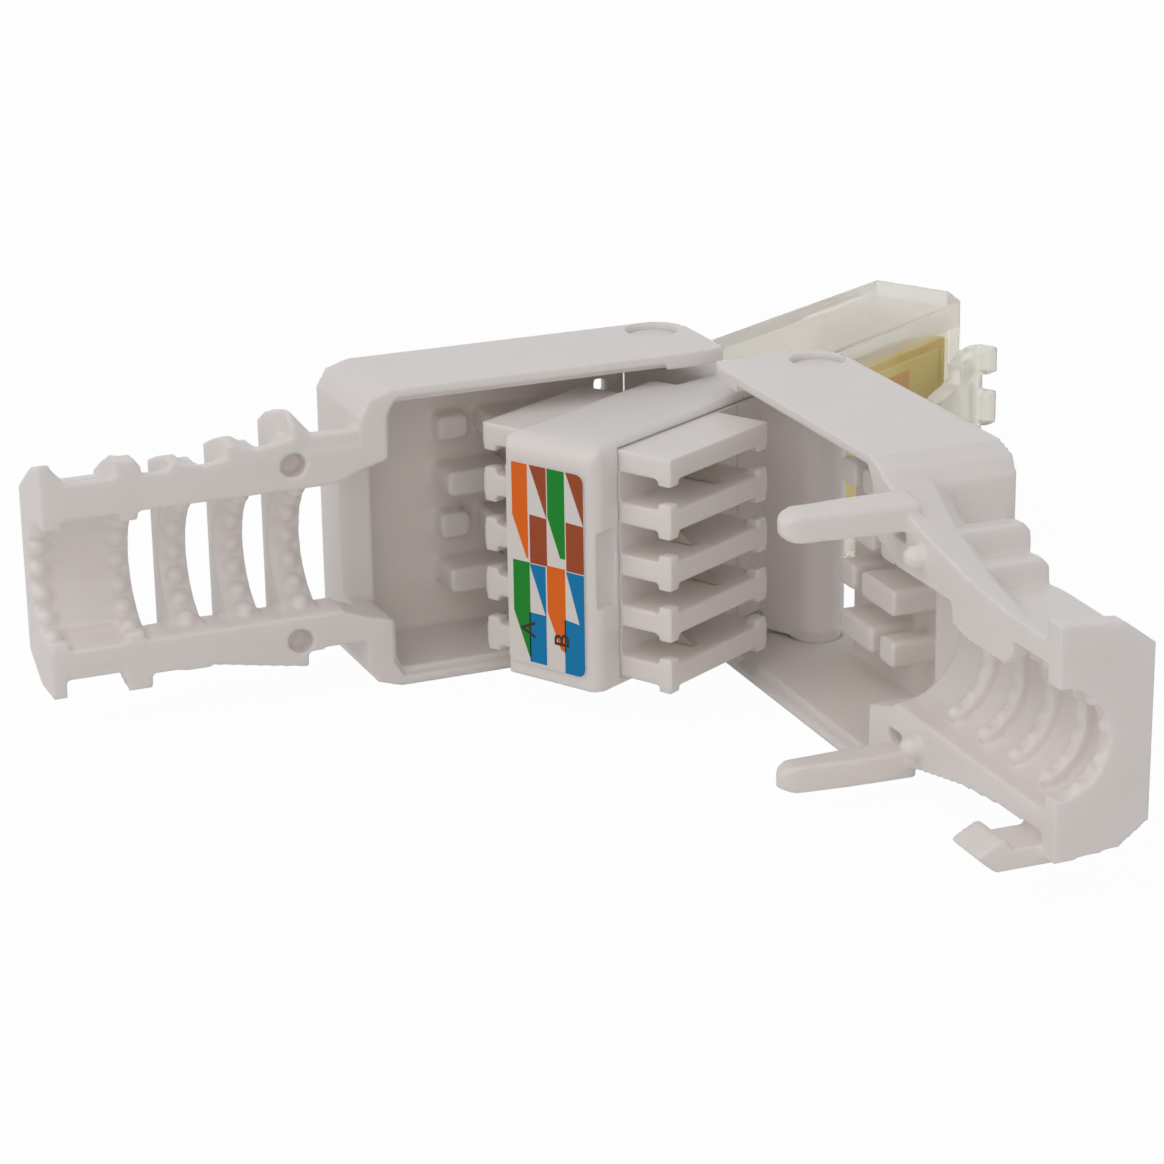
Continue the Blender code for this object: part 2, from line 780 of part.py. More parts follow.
def build_comb(finish_material):
    """The wire comb: a core with five teeth to each side."""

    def core(bm):
        plan = box_outline(-CORE_HALF, CORE_HALF, 0.0, CORE_END)
        half = TOOTH_PITCH * 2 + TOOTH_THICK / 2
        add_prism(bm, plan, "z", -half, half)

    def teeth(bm):
        for s in (1, -1):
            for i in range(5):
                z = TOOTH_PITCH * (2 - i)
                add_tooth(bm, s, z)

    def add_tooth(bm, s, z):
        half = TOOTH_THICK / 2
        x0, x1 = s * (CORE_HALF - 0.4), s * TOOTH_TIP
        plan = [(x0, 0.0), (x1, 0.0), (x1, TOOTH_LENGTH), (x0, TOOTH_LENGTH)]
        add_prism(bm, plan, "z", z - half, z + half)

    def lips(bm):
        for s in (1, -1):
            for i in range(5):
                z = TOOTH_PITCH * (2 - i)
                for y0, y1 in ((0.02, 0.75), (TOOTH_LENGTH - 0.75, TOOTH_LENGTH - 0.02)):
                    outer, inner = s * (TOOTH_TIP - 0.02), s * (TOOTH_TIP - 0.75)
                    low = z - TOOTH_THICK / 2 - (0.32 if i < 5 else 0.0)
                    high = z + TOOTH_THICK / 2 + (0.32 if i > 0 else -0.05)
                    add_prism(bm, box_outline(min(outer, inner), max(outer, inner), low, high), "y", y0, y1)

    return Piece("terminal_comb", finish_material).start(core).add(teeth).add(lips)


def build_forks(finish_material):
    """The eight insulation displacing terminals, one in each slot of the comb."""
    made = []
    for s, side in ((-1, "left"), (1, "right")):
        for number, z in enumerate(slot_heights()):
            y = fork_along(s, number)
            half = (TOOTH_PITCH - TOOTH_THICK) / 2 - FIT_CLEARANCE

            def fork(bm, s=s, z=z, y=y, half=half):
                root, tip, slot = CORE_HALF + FIT_CLEARANCE, 4.15, 3.0
                shape = [(root, -half), (tip - 0.35, -half), (tip, -0.35), (tip - 0.45, -0.12)]
                shape += [(slot, -0.12), (slot, 0.12), (tip - 0.45, 0.12), (tip, 0.35)]
                shape += [(tip - 0.35, half), (root, half)]
                outline = [(s * x, z + h) for x, h in shape]
                add_prism(bm, outline, "y", y - FORK_THICK / 2, y + FORK_THICK / 2)

            made.append(Piece(f"terminal_{side}_{number + 1}", finish_material).start(fork))
    return made


def build_cap(finish_material):
    """The cap that wraps the top, the cable side and the bottom of the comb."""
    end = CORE_END - FIT_CLEARANCE

    def shell(bm):
        near = [(x, y) for x, y in soft_box(CAP_LEFT, CAP_RIGHT, -CAP_OVERHANG, 3.0, 0.5, 3) if y < 1.0]
        plan = [point for point in near if point[0] > 0] + cap_arm(0.0, end)[2:]
        plan += [(CAP_ARM_LEFT, end), (CAP_LEFT, end)] + [point for point in near if point[0] < 0]
        add_prism(bm, plan, "z", -CAP_HALF_HEIGHT, CAP_HALF_HEIGHT)

    def room(bm):
        inner = cap_room()
        add_prism(bm, box_outline(-9, 9, -inner, inner), "y", -FIT_CLEARANCE, CAP_ARM_END + 2)

    def windows(bm):
        for low, high in ((-9, CAP_LEFT + 0.67), (CAP_RIGHT - 0.37, 9)):
            add_prism(bm, box_outline(-1.5, -0.35, -1.9, 1.9), "x", low, high)

    piece = Piece("rear_cap", finish_material).start(shell).cut(room).cut(windows)
    return piece


def build_label(finish_material):
    """The wiring label stuck on the cable side of the cap."""

    def sheet(bm):
        y1 = -CAP_OVERHANG - 0.01
        add_prism(bm, soft_box(-2.65, 1.95, -5.3, 4.7, 0.3, 2), "y", y1 - LABEL_THICK, y1)

    return Piece("wiring_label", finish_material).start(sheet)


def build_nose(finish_material):
    """The clear plug nose, hollow from the back, with eight contact slots."""
    h = NOSE_HALF_HEIGHT

    def block(bm):
        plan = [(NOSE_LEFT, NOSE_START), (NOSE_RIGHT, NOSE_START), (NOSE_RIGHT, NOSE_START + 6.0)]
        plan += [(NOSE_RIGHT - NOSE_DRAFT, NOSE_END - 1.5), (NOSE_RIGHT - 2.2, NOSE_END)]
        plan += [(NOSE_LEFT, NOSE_END)]
        add_prism(bm, plan, "z", -h, h)

    def room(bm):
        shape = box_outline(NOSE_LEFT + NOSE_WALL, NOSE_RIGHT - NOSE_DRAFT - NOSE_WALL + 0.2, -h + NOSE_WALL, h - NOSE_WALL)
        add_prism(bm, shape, "y", NOSE_START - 1, NOSE_END - 1.9)

    def slots(bm):
        for i in range(8):
            z = CONTACT_PITCH * (3.5 - i)
            half = CONTACT_THICK / 2 + FIT_CLEARANCE
            shape = box_outline(NOSE_LEFT - 1, NOSE_LEFT + NOSE_WALL + 0.2, z - half, z + half)
            add_prism(bm, shape, "y", NOSE_END - 7.2, NOSE_END - 0.5)

    return Piece("plug_nose", finish_material).start(block).cut(room).cut(slots)


def build_contacts(finish_material):
    """The eight gold blades in the nose, each with a pin that reaches the board."""
    made = []
    for i in range(8):
        z = CONTACT_PITCH * (3.5 - i)

        def blade(bm, z=z):
            x, y = NOSE_LEFT, NOSE_END
            inner = BOARD_LEFT - FIT_CLEARANCE
            shape = [(x + 0.35, y - 6.6), (x + 0.35, y - 1.5), (x + 0.7, y - 0.8), (x + 0.85, y - 0.8)]
            shape += [(x + 0.85, y - 1.95), (x + 2.2, y - 1.95), (x + 2.2, y - 2.6), (inner, y - 2.6)]
            shape += [(inner, y - 3.4), (x + 2.2, y - 3.4), (x + 2.2, y - 6.6)]
            add_prism(bm, shape, "z", z - CONTACT_THICK / 2, z + CONTACT_THICK / 2)

        made.append(Piece(f"contact_{i + 1}", finish_material).start(blade))
    return made


def build_board(finish_material):
    """The small circuit board that joins the contacts to the terminals."""

    def board(bm):
        outline = box_outline(BOARD_LEFT, BOARD_LEFT + BOARD_THICK, -BOARD_HALF, BOARD_HALF)
        add_prism(bm, outline, "y", CARRIER_END + FIT_CLEARANCE, NOSE_END - 2.1)

    return Piece("circuit_board", finish_material).start(board)


LATCH_TILT_DEG = 14.0
LATCH_LENGTH = 10.5


def build_latch(finish_material):
    """The springy latch lever, hinged at the front of the nose."""
    origin = (NOSE_RIGHT - NOSE_DRAFT + FIT_CLEARANCE, NOSE_END - 1.6, MIDDLE)
    tilt = math.tan(math.radians(LATCH_TILT_DEG))

    def lever(bm):
        end = LATCH_LENGTH
        side = [(0.02, 0.0), (0.5, 0.5), (1.2, 0.55), (1.35, 0.0), (1.35 + end * tilt, -end)]
        side += [(0.35 + end * tilt, -end), (0.22, -0.6)]
        add_prism(bm, side, "z", -2.2, 2.2)

    def shoulders(bm):
        side = [(0.3, 0.4), (1.2, 0.4), (1.3 + 3.2 * tilt, -3.2), (0.45 + 3.2 * tilt, -3.2)]
        side += [(0.35, -0.6)]
        add_prism(bm, side, "z", -3.3, 3.3)

    def fingers(bm):
        for low, high in ((2.0, 3.4), (-0.85, 0.95), (-3.4, -2.0)):
            plan = [(0.35, 0.1), (0.6, 0.95), (1.75, 0.95), (1.9, 0.8), (1.9, 0.0), (1.75, -0.15), (0.6, -0.4)]
            add_prism(bm, plan, "z", low, high)

    piece = Piece("latch_lever", finish_material, origin).start(lever).add(shoulders).add(fingers)
    return piece


def clear_scene():
    """Removes what the new scene came with."""
    for thing in list(bpy.data.objects):
        bpy.data.objects.remove(thing, do_unlink=True)


def main():
    clear_scene()
    white = material("white_plastic", (0.62, 0.60, 0.58), 0.42)
    clear = material("clear_plastic", (0.86, 0.88, 0.84), 0.12, clear=0.85)
    gold = material("gold_contact", (0.83, 0.60, 0.22), 0.25, 1.0)
    tinned = material("tinned_bronze", (0.62, 0.60, 0.56), 0.3, 1.0)
    board = material("board_laminate", (0.62, 0.50, 0.16), 0.55)
    label = material("label_face", (0.84, 0.83, 0.80), 0.5)
    build_left_cover(white)
    build_right_cover(white)
    build_hinge_carrier(white)
    build_comb(white)
    build_forks(tinned)
    build_cap(white)
    build_label(label)
    build_nose(clear)
    build_contacts(gold)
    build_board(board)
    build_latch(clear)


main()
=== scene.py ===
"""Looks of an open toolless network plug: white moulded covers, wire comb, label and clear nose."""

import json
import logging
import math
from collections.abc import Sequence
from dataclasses import dataclass, field
from enum import Enum

import bpy
import bmesh
import numpy as np
from mathutils import Matrix, Vector

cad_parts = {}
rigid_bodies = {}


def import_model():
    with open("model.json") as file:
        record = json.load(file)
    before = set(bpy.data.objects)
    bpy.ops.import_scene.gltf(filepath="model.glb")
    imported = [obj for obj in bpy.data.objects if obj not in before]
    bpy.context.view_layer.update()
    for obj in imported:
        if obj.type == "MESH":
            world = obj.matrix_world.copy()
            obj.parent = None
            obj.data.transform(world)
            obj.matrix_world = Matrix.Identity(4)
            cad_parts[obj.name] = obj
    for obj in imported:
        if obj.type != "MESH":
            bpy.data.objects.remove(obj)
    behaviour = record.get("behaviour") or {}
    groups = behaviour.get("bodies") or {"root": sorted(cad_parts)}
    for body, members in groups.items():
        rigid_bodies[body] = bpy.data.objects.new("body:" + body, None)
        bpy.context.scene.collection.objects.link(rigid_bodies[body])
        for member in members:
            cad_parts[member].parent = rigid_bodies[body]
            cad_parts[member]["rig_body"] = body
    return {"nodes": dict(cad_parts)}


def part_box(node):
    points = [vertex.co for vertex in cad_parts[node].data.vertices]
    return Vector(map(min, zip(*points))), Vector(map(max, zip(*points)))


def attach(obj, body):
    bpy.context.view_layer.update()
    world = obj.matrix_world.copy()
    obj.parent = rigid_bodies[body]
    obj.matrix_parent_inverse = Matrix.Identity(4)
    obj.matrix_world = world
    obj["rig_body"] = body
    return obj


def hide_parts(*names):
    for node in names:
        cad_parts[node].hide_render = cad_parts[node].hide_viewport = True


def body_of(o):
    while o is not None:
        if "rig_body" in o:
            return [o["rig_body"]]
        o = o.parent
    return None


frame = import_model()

log = logging.getLogger("plug")
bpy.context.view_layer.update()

MM = 0.001  # one millimetre in the scene's metres
WELD_M = 1e-7  # points of a CAD mesh nearer than this are one point
EASE_MOVES = (0.5, -0.53)  # the share of the way to the mean in each move of an easing pass
PIN_DEPTH_MM = 5.0  # a cover's hinge pin lies this deep behind its rim
MIDDLE_MM = 7.5  # height of the plug's middle
TOP_MM = 15.0  # height of the covers' upper faces
PAST_MM = 2.0  # how far a cutter runs out past the piece at each end
MIX_FIRST, MIX_SECOND, MIX_RESULT = 6, 7, 2  # the colour sockets of a mix node

Point = tuple[float, float]
Outline = tuple[Point, ...]
Spot = tuple[float, float, float]
Block = tuple[np.ndarray, np.ndarray]  # the rings of points at the two ends of a body
Bead = tuple[np.ndarray, float]  # a ball's middle and radius
Value = float | bpy.types.NodeSocket  # what feeds an input of a material
Colour = tuple[float, float, float, float]  # linear red, green and blue, and alpha


# Measuring and colour


def linear(code: str) -> Colour:
    """Turn an sRGB hex colour to the linear values that a shader takes.

    Args:
        code: a colour such as "#d0cfcc".

    Returns:
        Red, green, blue and an alpha of one.
    """
    parts = [int(code[i : i + 2], 16) / 255 for i in (1, 3, 5)]
    made = [c / 12.92 if c <= 0.04045 else ((c + 0.055) / 1.055) ** 2.4 for c in parts]
    return made[0], made[1], made[2], 1.0


def box_mm(node: str) -> tuple[np.ndarray, np.ndarray]:
    """Give the corners of a CAD node's box.

    Args:
        node: the CAD node's name.

    Returns:
        Its lowest and its highest corner in mm.
    """
    low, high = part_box(node)
    return np.array(low) / MM, np.array(high) / MM


def arc(middle: Point, radius: float, degrees: Sequence[float]) -> list[Point]:
    """Place points on a circle: middle + radius (cos t, sin t).

    Args:
        middle: the circle's middle in mm.
        radius: its radius in mm.
        degrees: the angles t.

    Returns:
        The points in the order of the angles.
    """
    return [
        (middle[0] + radius * math.cos(t), middle[1] + radius * math.sin(t))
        for t in np.radians(degrees)
    ]


# Meshes


def linked(name: str, data: bpy.types.ID) -> bpy.types.Object:
    """Make an object of a mesh, curve, lamp or camera and link it to the scene.

    Args:
        name: the object's name.
        data: what it shows.

    Returns:
        The object, at the origin and unturned.
    """
    made = bpy.data.objects.new(name, data)
    bpy.context.scene.collection.objects.link(made)
    return made


def new_object(name: str, points: np.ndarray, faces: Sequence[Sequence[int]]) -> bpy.types.Object:
    """Make an object of points and flat faces, at the origin and unturned.

    Args:
        name: the object's name.
        points: rows of x, y, z in mm.
        faces: rows of point numbers, anticlockwise from outside.

    Returns:
        The object, linked to the scene.
    """
    mesh = bpy.data.meshes.new(name)
    mesh.from_pydata((np.asarray(points, float) * MM).tolist(), [], faces)
    mesh.validate()
    return linked(name, mesh)


def as_mesh(work: bmesh.types.BMesh, name: str) -> bpy.types.Mesh:
    """Write out a working mesh, which is freed.

    Args:
        work: the working mesh.
        name: the new mesh's name.

    Returns:
        The new mesh.
    """
    mesh = bpy.data.meshes.new(name)
    work.to_mesh(mesh)
    work.free()
    return mesh


def applied(piece: bpy.types.Object) -> bpy.types.Mesh:
    """Apply a piece's modifiers, which are then cleared.

    Args:
        piece: the object, which keeps its own data.

    Returns:
        A new mesh.
    """
    graph = bpy.context.evaluated_depsgraph_get()
    mesh = bpy.data.meshes.new_from_object(piece.evaluated_get(graph))
    piece.modifiers.clear()
    return mesh


def eased(points: np.ndarray, edges: np.ndarray, passes: int) -> np.ndarray:
    """Round the corners of a dense mesh and keep its size.

    Each pass moves every point p towards the mean m of its neighbours, p + 0.5 (m - p), and then
    back by p - 0.53 (m - p), so that flat faces stay where they are and only the edges soften.

    Args:
        points: rows of x, y, z.
        edges: rows of two point numbers.
        passes: how many times both moves are made.

    Returns:
        The moved points.
    """
    a, b = edges[:, 0], edges[:, 1]
    size = len(points)
    count = np.bincount(edges.ravel(), minlength=size).clip(1)[:, None]
    for move in EASE_MOVES * passes:
        total = [
            np.bincount(a, points[b, c], size) + np.bincount(b, points[a, c], size)
            for c in range(3)
        ]
        points = points + move * (np.stack(total, -1) / count - points)
    return points


def add_block(work: bmesh.types.BMesh, first: np.ndarray, second: np.ndarray) -> None:
    """Add a closed body between two rings of as many points.

    Args:
        work: the mesh that it is added to.
        first: rows of x, y, z round one end.
        second: rows of x, y, z round the other end, in the same order.
    """
    rings = [[work.verts.new(point) for point in ring] for ring in (first, second)]
    count = len(first)
    made = [work.faces.new(ring) for ring in rings]
    for i in range(count):
        j = (i + 1) % count
        made.append(work.faces.new((rings[0][i], rings[0][j], rings[1][j], rings[1][i])))
    bmesh.ops.recalc_face_normals(work, faces=made)


@dataclass(frozen=True)
class Moulding:
    """How a moulded piece's sharp CAD edges are rounded and its finer forms added.

    A copy of the CAD solid is turned to lie square, carved, rebuilt from small cells, eased,
    thinned where it is flat, and turned back.
    """

    node: str
    turn_deg: float = 0.0  # the angle at which it stands, taken back while the work is done
    cell_mm: float = 0.12
    passes: int = 3  # how many times its edges are eased
    keep: float = 0.3  # share of the faces that the thinning leaves
    more: tuple[Block, ...] = ()  # bodies that are added
    less: tuple[Block, ...] = ()  # bodies that are cut out, before any is added
    beads: tuple[Bead, ...] = ()  # balls that are added

    def square_copy(self) -> bpy.types.Object:
        """Copy the CAD node with its loose triangles joined, in mm and lying square."""
        work = bmesh.new()
        work.from_mesh(frame["nodes"][self.node].data)
        bmesh.ops.remove_doubles(work, verts=work.verts, dist=WELD_M)
        turn_back = Matrix.Rotation(-math.radians(self.turn_deg), 4, "Z")
        work.transform(turn_back @ Matrix.Scale(1 / MM, 4))
        mesh = as_mesh(work, self.node + "_square")
        return linked(mesh.name, mesh)

    def carve(self, piece: bpy.types.Object) -> None:
        """Take the finer cuts out of a piece and add its finer forms.

        Each cutter has its own Boolean, since cutters that overlap in one mesh can take the
        whole piece away. What is added overlaps the piece, and the rebuilding joins them.

        Args:
            piece: the square copy, in mm.
        """
        cutters = []
        for rings in self.less:
            work = bmesh.new()
            add_block(work, *rings)
            cutters.append(linked("cutter", as_mesh(work, "cutter")))
            cut = piece.modifiers.new("cut", "BOOLEAN")
            cut.operation, cut.solver, cut.object = "DIFFERENCE", "EXACT", cutters[-1]
        if cutters:
            piece.data = applied(piece)
        for cutter in cutters:
            bpy.data.objects.remove(cutter)
        work = bmesh.new()
        work.from_mesh(piece.data)
        for rings in self.more:
            add_block(work, *rings)
        for spot, radius in self.beads:
            place = Matrix.Translation(Vector(spot))
            bmesh.ops.create_icosphere(work, subdivisions=2, radius=radius, matrix=place)
        work.to_mesh(piece.data)
        work.free()

    def build(self, name: str) -> bpy.types.Object:
        """Make the rounded piece.

        Args:
            name: the new object's name.

        Returns:
            The object, which stands for the CAD node and moves with its body.
        """
        piece = self.square_copy()
        self.carve(piece)
        cells = piece.modifiers.new("cells", "REMESH")
        cells.mode, cells.voxel_size, cells.adaptivity = "VOXEL", self.cell_mm, 0.0
        mesh = applied(piece)
        points = np.empty(len(mesh.vertices) * 3)
        mesh.vertices.foreach_get("co", points)
        edges = np.empty(len(mesh.edges) * 2, int)
        mesh.edges.foreach_get("vertices", edges)
        points = eased(points.reshape(-1, 3), edges.reshape(-1, 2), self.passes)
        mesh.vertices.foreach_set("co", points.ravel())
        piece.data = mesh
        piece.modifiers.new("thin", "DECIMATE").ratio = self.keep
        mesh = applied(piece)
        bpy.data.objects.remove(piece)
        turn = Matrix.Rotation(math.radians(self.turn_deg), 4, "Z")
        mesh.transform(Matrix.Scale(MM, 4) @ turn)
        mesh.polygons.foreach_set("use_smooth", np.ones(len(mesh.polygons), bool))
        mesh.name = name
        made = linked(name, mesh)
        body = body_of(frame["nodes"][self.node])[0]
        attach(made, body)
        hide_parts(self.node)
        log.info("%s: %d triangles", name, sum(len(p.vertices) - 2 for p in mesh.polygons))
        return made


# Materials


def add(
    tree: bpy.types.NodeTree, kind: str, links: dict | None = None, **settings
) -> bpy.types.Node:
    """Add a node with its settings and links.

    Args:
        tree: the node tree it goes into.
        kind: the node's type, such as "ShaderNodeTexNoise".
        links: for an input's name or number, either a value or the socket that feeds it.
        settings: the node's own properties.

    Returns:
        The new node.
    """
    node = tree.nodes.new(kind)
    for key, value in settings.items():
        setattr(node, key, value)
    for key, value in (links or {}).items():
        if isinstance(value, bpy.types.NodeSocket):
            tree.links.new(value, node.inputs[key])
        else:
            node.inputs[key].default_value = value
    return node


def computed(
    tree: bpy.types.NodeTree, operation: str, first: Value, second: Value
) -> bpy.types.NodeSocket:
    """Compute with two numbers, or with the sockets that give them.

    Args:
        tree: the node tree it goes into.
        operation: what is done with them, such as "MULTIPLY".
        first: the first number or socket.
        second: the second number or socket.

    Returns:
        The socket of the result.
    """
    return add(tree, "ShaderNodeMath", {0: first, 1: second}, operation=operation).outputs[0]


def mixed(
    tree: bpy.types.NodeTree, share: bpy.types.NodeSocket, first: Colour, second: Colour
) -> bpy.types.NodeSocket:
    """Mix two colours.

    Args:
        tree: the node tree it goes into.
        share: the socket that gives the second colour's share.
        first: the first colour.
        second: the second colour.

    Returns:
        The socket of the mixed colour.
    """
    links = {"Factor": share, MIX_FIRST: first, MIX_SECOND: second}
    return add(tree, "ShaderNodeMix", links, data_type="RGBA").outputs[MIX_RESULT]


@dataclass(frozen=True)
class Finish:
    """A surface finish: its colour, gloss and grain."""

    name: str
    colour: str
    roughness: float
    metallic: float = 0.0
    ior: float = 1.5
    clear: float = 0.0  # share of the light that passes through
    glow_depth: float = 0.0  # how deep light scatters inside, in mm, or 0 for a solid face
    grain_mm: float = 0.0  # width of its grain, or 0 for none
    grain_height: float = 0.0  # in mm
    mottle: float = 0.0  # how much darker its dark patches are, as a share

    def make(self) -> bpy.types.Material:
        """Make the material, or give the one already made."""
        if self.name in bpy.data.materials:
            return bpy.data.materials[self.name]
        made = bpy.data.materials.new(self.name)
        made.use_nodes = True
        shader = made.node_tree.nodes["Principled BSDF"]
        values = {
            "Base Color": linear(self.colour),
            "Roughness": self.roughness,
            "Metallic": self.metallic,
            "IOR": self.ior,
            "Transmission Weight": self.clear,
        }
        if self.glow_depth:
            # Half of the light goes in, and red comes back from deeper than blue
            values["Subsurface Weight"] = 0.5
            values["Subsurface Radius"] = (1.0, 0.85, 0.75)
            values["Subsurface Scale"] = self.glow_depth * MM
        for key, value in values.items():
            shader.inputs[key].default_value = value
        if self.grain_mm:
            self.grain(made.node_tree, shader)
        return made

    def noise(
        self, tree: bpy.types.NodeTree, place: bpy.types.NodeSocket, size_mm: float, detail: float
    ) -> bpy.types.NodeSocket:
        """Add noise that lies still on the object.

        Args:
            tree: the material's node tree.
            place: the socket of the object's own coordinates.
            size_mm: the width of one patch.
            detail: how many finer layers it has.

        Returns:
            The socket of its value.
        """
        links = {"Vector": place, "Scale": 1 / (size_mm * MM), "Detail": detail}
        return add(tree, "ShaderNodeTexNoise", links).outputs["Fac"]

    def grain(self, tree: bpy.types.NodeTree, shader: bpy.types.Node) -> None:
        """Lay a fine grain on the surface: a bump and a slight change of tone.

        Args:
            tree: the material's node tree.
            shader: its principled shader.
        """
        place = add(tree, "ShaderNodeTexCoord").outputs["Object"]
        height = self.noise(tree, place, self.grain_mm, detail=3.0)
        links = {"Height": height, "Distance": self.grain_height * MM, "Strength": 0.6}
        bump = add(tree, "ShaderNodeBump", links)
        tree.links.new(bump.outputs["Normal"], shader.inputs["Normal"])
        patches = self.noise(tree, place, size_mm=2.2, detail=2.0)
        light = linear(self.colour)
        dark = (*(c * (1 - self.mottle) for c in light[:3]), 1.0)
        tree.links.new(mixed(tree, patches, dark, light), shader.inputs["Base Color"])


class Finishes(Enum):
    """Every finish on the plug."""

    # Injection moulded white ABS with a satin tool: soft highlights, a little light inside it
    WHITE_ABS = Finish(
        "white_abs_moulded", "#f4eeea", 0.42, ior=1.53, glow_depth=0.8,
        grain_mm=0.3, grain_height=0.006, mottle=0.04,
    )
    # Clear polycarbonate from a satin tool: milky faces, soft bright edges, a warm tint
    CLEAR_PC = Finish("clear_polycarbonate_satin", "#faf7ef", 0.24, ior=1.25, clear=0.66)
    # The nose's plastic: satin like the latch, and polished over the board, which shows
    # sharp through it
    WINDOW_PC = Finish("clear_polycarbonate_polished", "#faf7ef", 0.24, ior=1.25, clear=0.66)
    # Phosphor bronze with flash gold: a warm, slightly soft mirror
    GOLD = Finish("flash_gold_stamped", "#dcab4f", 0.24, metallic=1.0)
    # Tinned bronze: a light grey, slightly soft mirror
    TIN = Finish("tinned_bronze_stamped", "#dcd9d3", 0.3, metallic=1.0)
    # Glass epoxy laminate: pale yellow, waxy, with a weave that mottles it a little
    LAMINATE = Finish(
        "glass_epoxy_laminate", "#eede88", 0.45, ior=1.4,
        grain_mm=0.25, grain_height=0.004, mottle=0.12,
    )
    # The bare border of the board: a deeper gold, which frames it
    MASK_EDGE = Finish("bare_laminate_border", "#dcc05e", 0.45, ior=1.4)
    # The thin trace along the border: a pale line that parts it from the laminate
    MASK_LINE = Finish("bright_board_trace", "#f2e08c", 0.4, ior=1.4)
    # Copper plane under clear lacquer: a half matt orange patch
    COPPER = Finish("lacquered_copper_foil", "#e2ac74", 0.45, ior=1.4)
    # Coated paper and its inks: dull off-white, the four wiring colours and warm black
    PAPER = Finish("coated_label_paper", "#ebe5df", 0.6, ior=1.3)
    INK_ORANGE = Finish("label_ink_orange", "#f0701c", 0.6, ior=1.3)
    INK_GREEN = Finish("label_ink_green", "#1d8f2e", 0.6, ior=1.3)
    INK_BROWN = Finish("label_ink_brown", "#a6512e", 0.6, ior=1.3)
    INK_BLUE = Finish("label_ink_blue", "#0c82ba", 0.6, ior=1.3)
    INK_BLACK = Finish("label_ink_black", "#3b352e", 0.6, ior=1.3)

    def put_on(self, piece: bpy.types.Object) -> None:
        """Give a piece this finish alone.

        Args:
            piece: the object that takes it.
        """
        piece.data.materials.clear()
        piece.data.materials.append(self.value.make())


# Sub-assemblies


@dataclass(frozen=True)
class CoverMeasures:
    """A cover's own measures: u along it from the hinge, v deep from its rim, z from its middle."""

    side: int  # 1 for the right cover, -1 for the left one
    pin_mm: Point  # x and y of its hinge pin
    turn_deg: float  # the angle at which it stands open

    def points(self, spots: Sequence[Spot]) -> np.ndarray:
        """Turn measures to places in the cover's square copy.

        x = px + side (v - 5), y = py - u and z = 7.5 + z, with the pin p turned back by the
        angle that the cover stands open.

        Args:
            spots: rows of u, v, z in mm.

        Returns:
            Rows of x, y, z in mm.
        """
        u, v, z = np.array(spots, float).T
        a = -math.radians(self.turn_deg)
        px = self.pin_mm[0] * math.cos(a) - self.pin_mm[1] * math.sin(a)
        py = self.pin_mm[0] * math.sin(a) + self.pin_mm[1] * math.cos(a)
        x, y, height = px + self.side * (v - PIN_DEPTH_MM), py - u, MIDDLE_MM + z
        return np.stack([x, y, height], -1)

    def block(
        self, u0: float, u1: float, ring: Sequence[Point], end: Sequence[Point] = ()
    ) -> Block:
        """Push an outline in v and z from u0 to u1, where it may have another shape.

        Args:
            u0: where it starts.
            u1: where it ends.
            ring: the outline at u0.
            end: the outline at u1, or nothing for the same one.

        Returns:
            The two rings of points.
        """
        return (
            self.points([(u0, v, z) for v, z in ring]),
            self.points([(u1, v, z) for v, z in (end or ring)]),
        )

    def both_sides(self, u0: float, u1: float, ring: Outline, end: Outline = ()) -> list[Block]:
        """Push an outline as block() does, and its mirror image across the cover's middle.

        Args:
            u0: where it starts.
            u1: where it ends.
            ring: the outline at u0, above the middle.
            end: the outline at u1, or nothing for the same one.

        Returns:
            The body above the middle and the one below it.
        """
        return [
            self.block(u0, u1, [(v, s * z) for v, z in ring], [(v, s * z) for v, z in end])
            for s in (1, -1)
        ]

    def beads(
        self, places: Sequence[float], radius: float, degrees: Sequence[float], size: float
    ) -> tuple[Bead, ...]:
        """Set round teeth along arcs about the middle of the cable channel.

        Args:
            places: the u of each arc.
            radius: the arc's radius in mm.
            degrees: the angles at which teeth stand.
            size: the radius of a tooth.

        Returns:
            Pairs of a middle point and a radius.
        """
        ring = arc((0.0, 0.0), radius, degrees)
        spots = self.points([(u, v, z) for u in places for v, z in ring])
        return tuple((spot, size) for spot in spots)


